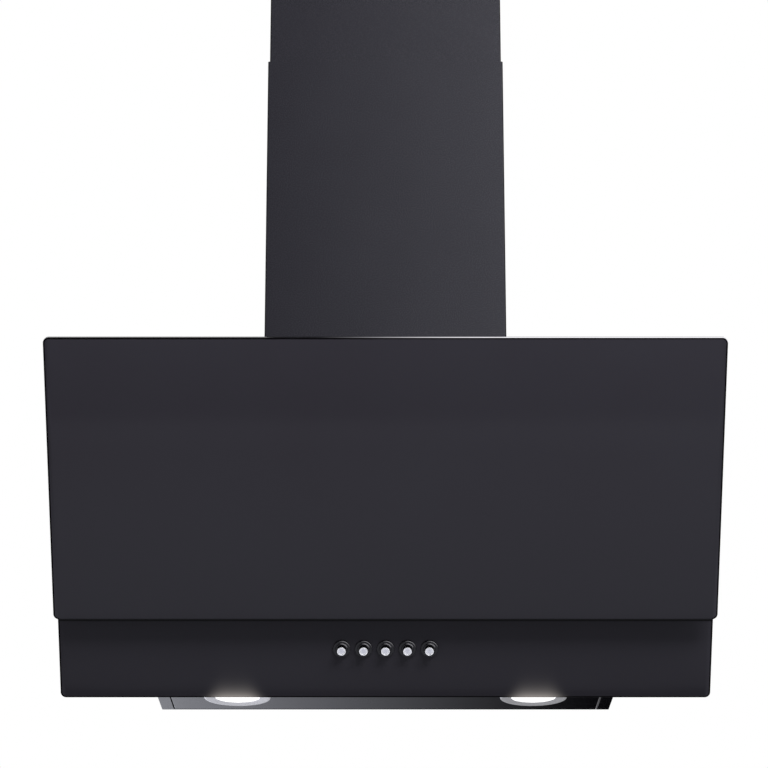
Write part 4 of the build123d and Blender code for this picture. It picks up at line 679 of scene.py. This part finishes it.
collarRows = collarProfile(collarForm)
collarQuads = ringQuads(len(collarRows), collarForm["steps"], closedRows=True)
collarShells = [(turned(collarRows, collarForm["steps"], (x, buttons["level"]), onSlope), collarQuads)
                for x in buttonXs]
makePiece("buttonCollarRings", collarShells, [collarPlastic], "hood", ["button_collars"],
          sharp=30)
print("caps and collars made")

# Lamp rims: a bezel that slopes in to the lens, its outer edge rounded, with a skirt behind the plate
rimForm = dict(x=138.1, y=50.7, lens=20.8, lip=0.45, lipDrop=0.08, lipRun=0.1, band=28.5, bandDrop=0.02,
               bandRun=0.15, outer=31.0, face=1.4, rounding=1.0, roundingRows=8, skirt=28.6, skirtInner=26.2,
               deep=-11.0, steps=96)
# Lenses: a flat frosted face with a chamfered edge, on a wider flange behind the rim
lensForm = dict(radius=20.6, face=0.35, chamferRun=0.3, chamferDrop=0.15, flange=26.0, back=-2.0, steps=72)


# Rows (r, h) of a rim, round the whole section
def rimProfile(form):
    middle = (form["outer"] - form["rounding"], form["face"] - form["rounding"])
    return [(form["lens"], 0.0), (form["lens"], form["lip"] - form["lipDrop"]),
            (form["lens"] + form["lipRun"], form["lip"]),
            (form["band"] - form["bandRun"], form["face"] - form["bandDrop"]),
            (form["band"] + form["bandRun"], form["face"]),
            *arcRows(middle, form["rounding"], 90, 0, form["roundingRows"]), (form["outer"], 0.0),
            (form["skirt"], 0.0), (form["skirt"], form["deep"]), (form["skirtInner"], form["deep"]),
            (form["skirtInner"], 0.0)]


# Rows (r, h) of a lens, from the middle of its face to the middle of its back
def lensProfile(form):
    r, face = form["radius"], form["face"]
    return [(0, face), (0.5 * r, face), (r - form["chamferRun"], face), (r, face - form["chamferDrop"]),
            (r, 0), (form["flange"], 0), (form["flange"], form["back"]), (0, form["back"])]


rimRows = rimProfile(rimForm)
rimQuads = ringQuads(len(rimRows), rimForm["steps"], closedRows=True)
lensRows = lensProfile(lensForm)
lensQuads = ringQuads(len(lensRows), lensForm["steps"])
for side, sign in dict(left=-1, right=1).items():
    middle = (sign * rimForm["x"], rimForm["y"])
    makePiece(f"lampRim_{side}", [(turned(rimRows, rimForm["steps"], middle, onPlate), rimQuads)],
              [slotPaint["satin_metal"]], "hood", [f"lamp_ring_{side}"], sharp=30)
    makePiece(f"lampLens_{side}", [(turned(lensRows, lensForm["steps"], middle, onPlate), lensQuads)],
              [slotPaint["lamp_lens"]], "hood", [f"lamp_lens_{side}"], sharp=30)
print("lamp rims and lenses made")

# Expanded-metal faces of the grease filter: zigzag strands that meet their neighbours at short bonds
meshForm = dict(width=370.0, length=164.018, middle=205.009, columns=62, rows=22, strand=1.1, sheet=0.8,
                bond=0.3, faces=dict(front=-6.0, rear=-12.2))


# Strands: point = row's middle + (-1)^(row + column) (row pitch - strand) / 2, level over the bond's share of
# each column
def meshShells(form, faceLevel):
    pitchX, pitchS = form["width"] / form["columns"], form["length"] / form["rows"]
    column = np.repeat(np.arange(form["columns"]), 2)
    flat = np.tile([-0.5, 0.5], form["columns"]) * form["bond"]
    x = (column + 0.5 + flat) * pitchX - form["width"] / 2
    x[0], x[-1] = -form["width"] / 2, form["width"] / 2
    swing = np.where(column % 2 == 0, 0.5, -0.5) * (pitchS - form["strand"])
    across = np.array([-0.5, 0.5, 0.5, -0.5]) * form["strand"]
    depth = faceLevel - np.array([0, 0, 1, 1]) * form["sheet"]
    row = np.arange(form["rows"])[:, None, None]
    level = form["middle"] - form["length"] / 2 + (row + 0.5) * pitchS
    s = level + np.where(row % 2 == 0, 1, -1) * swing[:, None] + across
    points = onSlope(x[:, None], s, depth)
    body = ringQuads(len(x), 4)
    ends = np.array([[3, 2, 1, 0], np.arange(4) + 4 * (len(x) - 1)])
    return [(strand, np.concatenate([body, ends])) for strand in points]


for faceName, faceLevel in meshForm["faces"].items():
    makePiece(f"expandedMesh_{faceName}", meshShells(meshForm, faceLevel), [slotPaint["filter_aluminium"]],
              "hood", [f"filter_mesh_{faceName}"], sharp=20)
print("filter meshes made")

# Pan-head screws with a cross recess
screwForm = dict(head=3.8, high=2.2, rounding=1.5, roundingRows=6, shank=2.0, length=8.0, point=0.8, arm=1.9,
                 slot=0.42, deep=1.3, taper=0.7, lip=0.05, steps=48)


# Cross recess: radius = the larger of the two bars' radii, each bar's = the smaller of arm / cos a and
# slot / sin a, both kept just above zero
def crossOutline(form):
    a = np.linspace(0, 2 * np.pi, form["steps"], endpoint=False)
    least = 1e-9
    c, t = np.abs(np.cos(a)) + least, np.abs(np.sin(a)) + least
    level = np.minimum(form["arm"] / c, form["slot"] / t)
    upright = np.minimum(form["slot"] / c, form["arm"] / t)
    return np.maximum(level, upright)


# Rows of radii and heights of one screw, from the recess's floor over the head to the point
def screwRows(form):
    cross, top = crossOutline(form), form["high"]
    dome = (form["head"] - form["rounding"], top - form["rounding"])
    rings = [(0, top - form["deep"]), (form["taper"] * cross, top - form["deep"]), (cross, top - form["lip"]),
             *arcRows(dome, form["rounding"], 90, 0, form["roundingRows"]), (form["head"], 0.0),
             (form["shank"], 0.0), (form["shank"], form["point"] - form["length"]),
             (form["shank"] - form["point"], -form["length"]), (0, -form["length"])]
    r = np.stack([np.broadcast_to(radius, (form["steps"],)) for radius, _ in rings])
    h = np.array([height for _, height in rings])[:, None]
    return r, h


# Screws: point = seat + r (cos a across + sin a along) + h out, one shell for each seat
def screwGroup(name, seats, body, slotName, node):
    r, h = screwRows(screwForm)
    a = np.linspace(0, 2 * np.pi, screwForm["steps"], endpoint=False)
    shells = []
    for seat, across, out in seats:
        along = np.cross(out, across)
        turn = np.cos(a)[:, None] * across + np.sin(a)[:, None] * along
        points = seat + (r[..., None] * turn + (h[..., None] * out)) * mm
        shells.append((points, ringQuads(len(h), screwForm["steps"])))
    makePiece(name, shells, [slotPaint[slotName]], body, [node], sharp=35)


# Seats: four at the panel's hinges, four on the outlet collar, three on the motor, two on each chimney
# section
spots = dict(hingeX=165.0, hingeStep=17.0, hingeS=312.918, hingeN=-3.0, collarX=55.5,
             collarYs=(-153.0, -67.295), collarZ=134.0, motorX=56.7, motorY=-85.0, motorZ=22.0, motorR=59.0,
             motorTurns=(90, 210, 330), lowerX=110.9, lowerY=-95.0, lowerZ=144.0, upperX=109.3, upperY=-15.9,
             upperZ=534.0)
eastward, upward = np.array([1.0, 0, 0]), np.array([0, 0, 1.0])
glassOut = (onSlope(0, 0, 1) - onSlope(0, 0, 0)) / mm
hoodSeats = []
for side in (-1, 1):
    for step in (-1, 1):
        hingeX = side * spots["hingeX"] + step * spots["hingeStep"]
        hoodSeats.append((onSlope(hingeX, spots["hingeS"], spots["hingeN"]), eastward, glassOut))
for side in (-1, 1):
    for y in spots["collarYs"]:
        hoodSeats.append((np.array([side * spots["collarX"], y, spots["collarZ"]]) * mm, eastward, upward))
for turn in np.radians(spots["motorTurns"]):
    motorY = spots["motorY"] + spots["motorR"] * math.cos(turn)
    motorZ = spots["motorZ"] + spots["motorR"] * math.sin(turn)
    hoodSeats.append((np.array([spots["motorX"], motorY, motorZ]) * mm, upward, eastward))
screwGroup("zincPanHeads", hoodSeats, "hood", "zinc_steel", "hood_screws")
for groupName, node, body, level in (("lowerSideScrews", "chimney_screws", "hood", "lower"),
                                     ("upperSideScrews", "bracket_screws", "chimney_slide_section", "upper")):
    seats = [(np.array([side * spots[level + "X"], spots[level + "Y"], spots[level + "Z"]]) * mm, upward,
              side * eastward) for side in (-1, 1)]
    screwGroup(groupName, seats, body, "black_screw", node)
print("screws made")
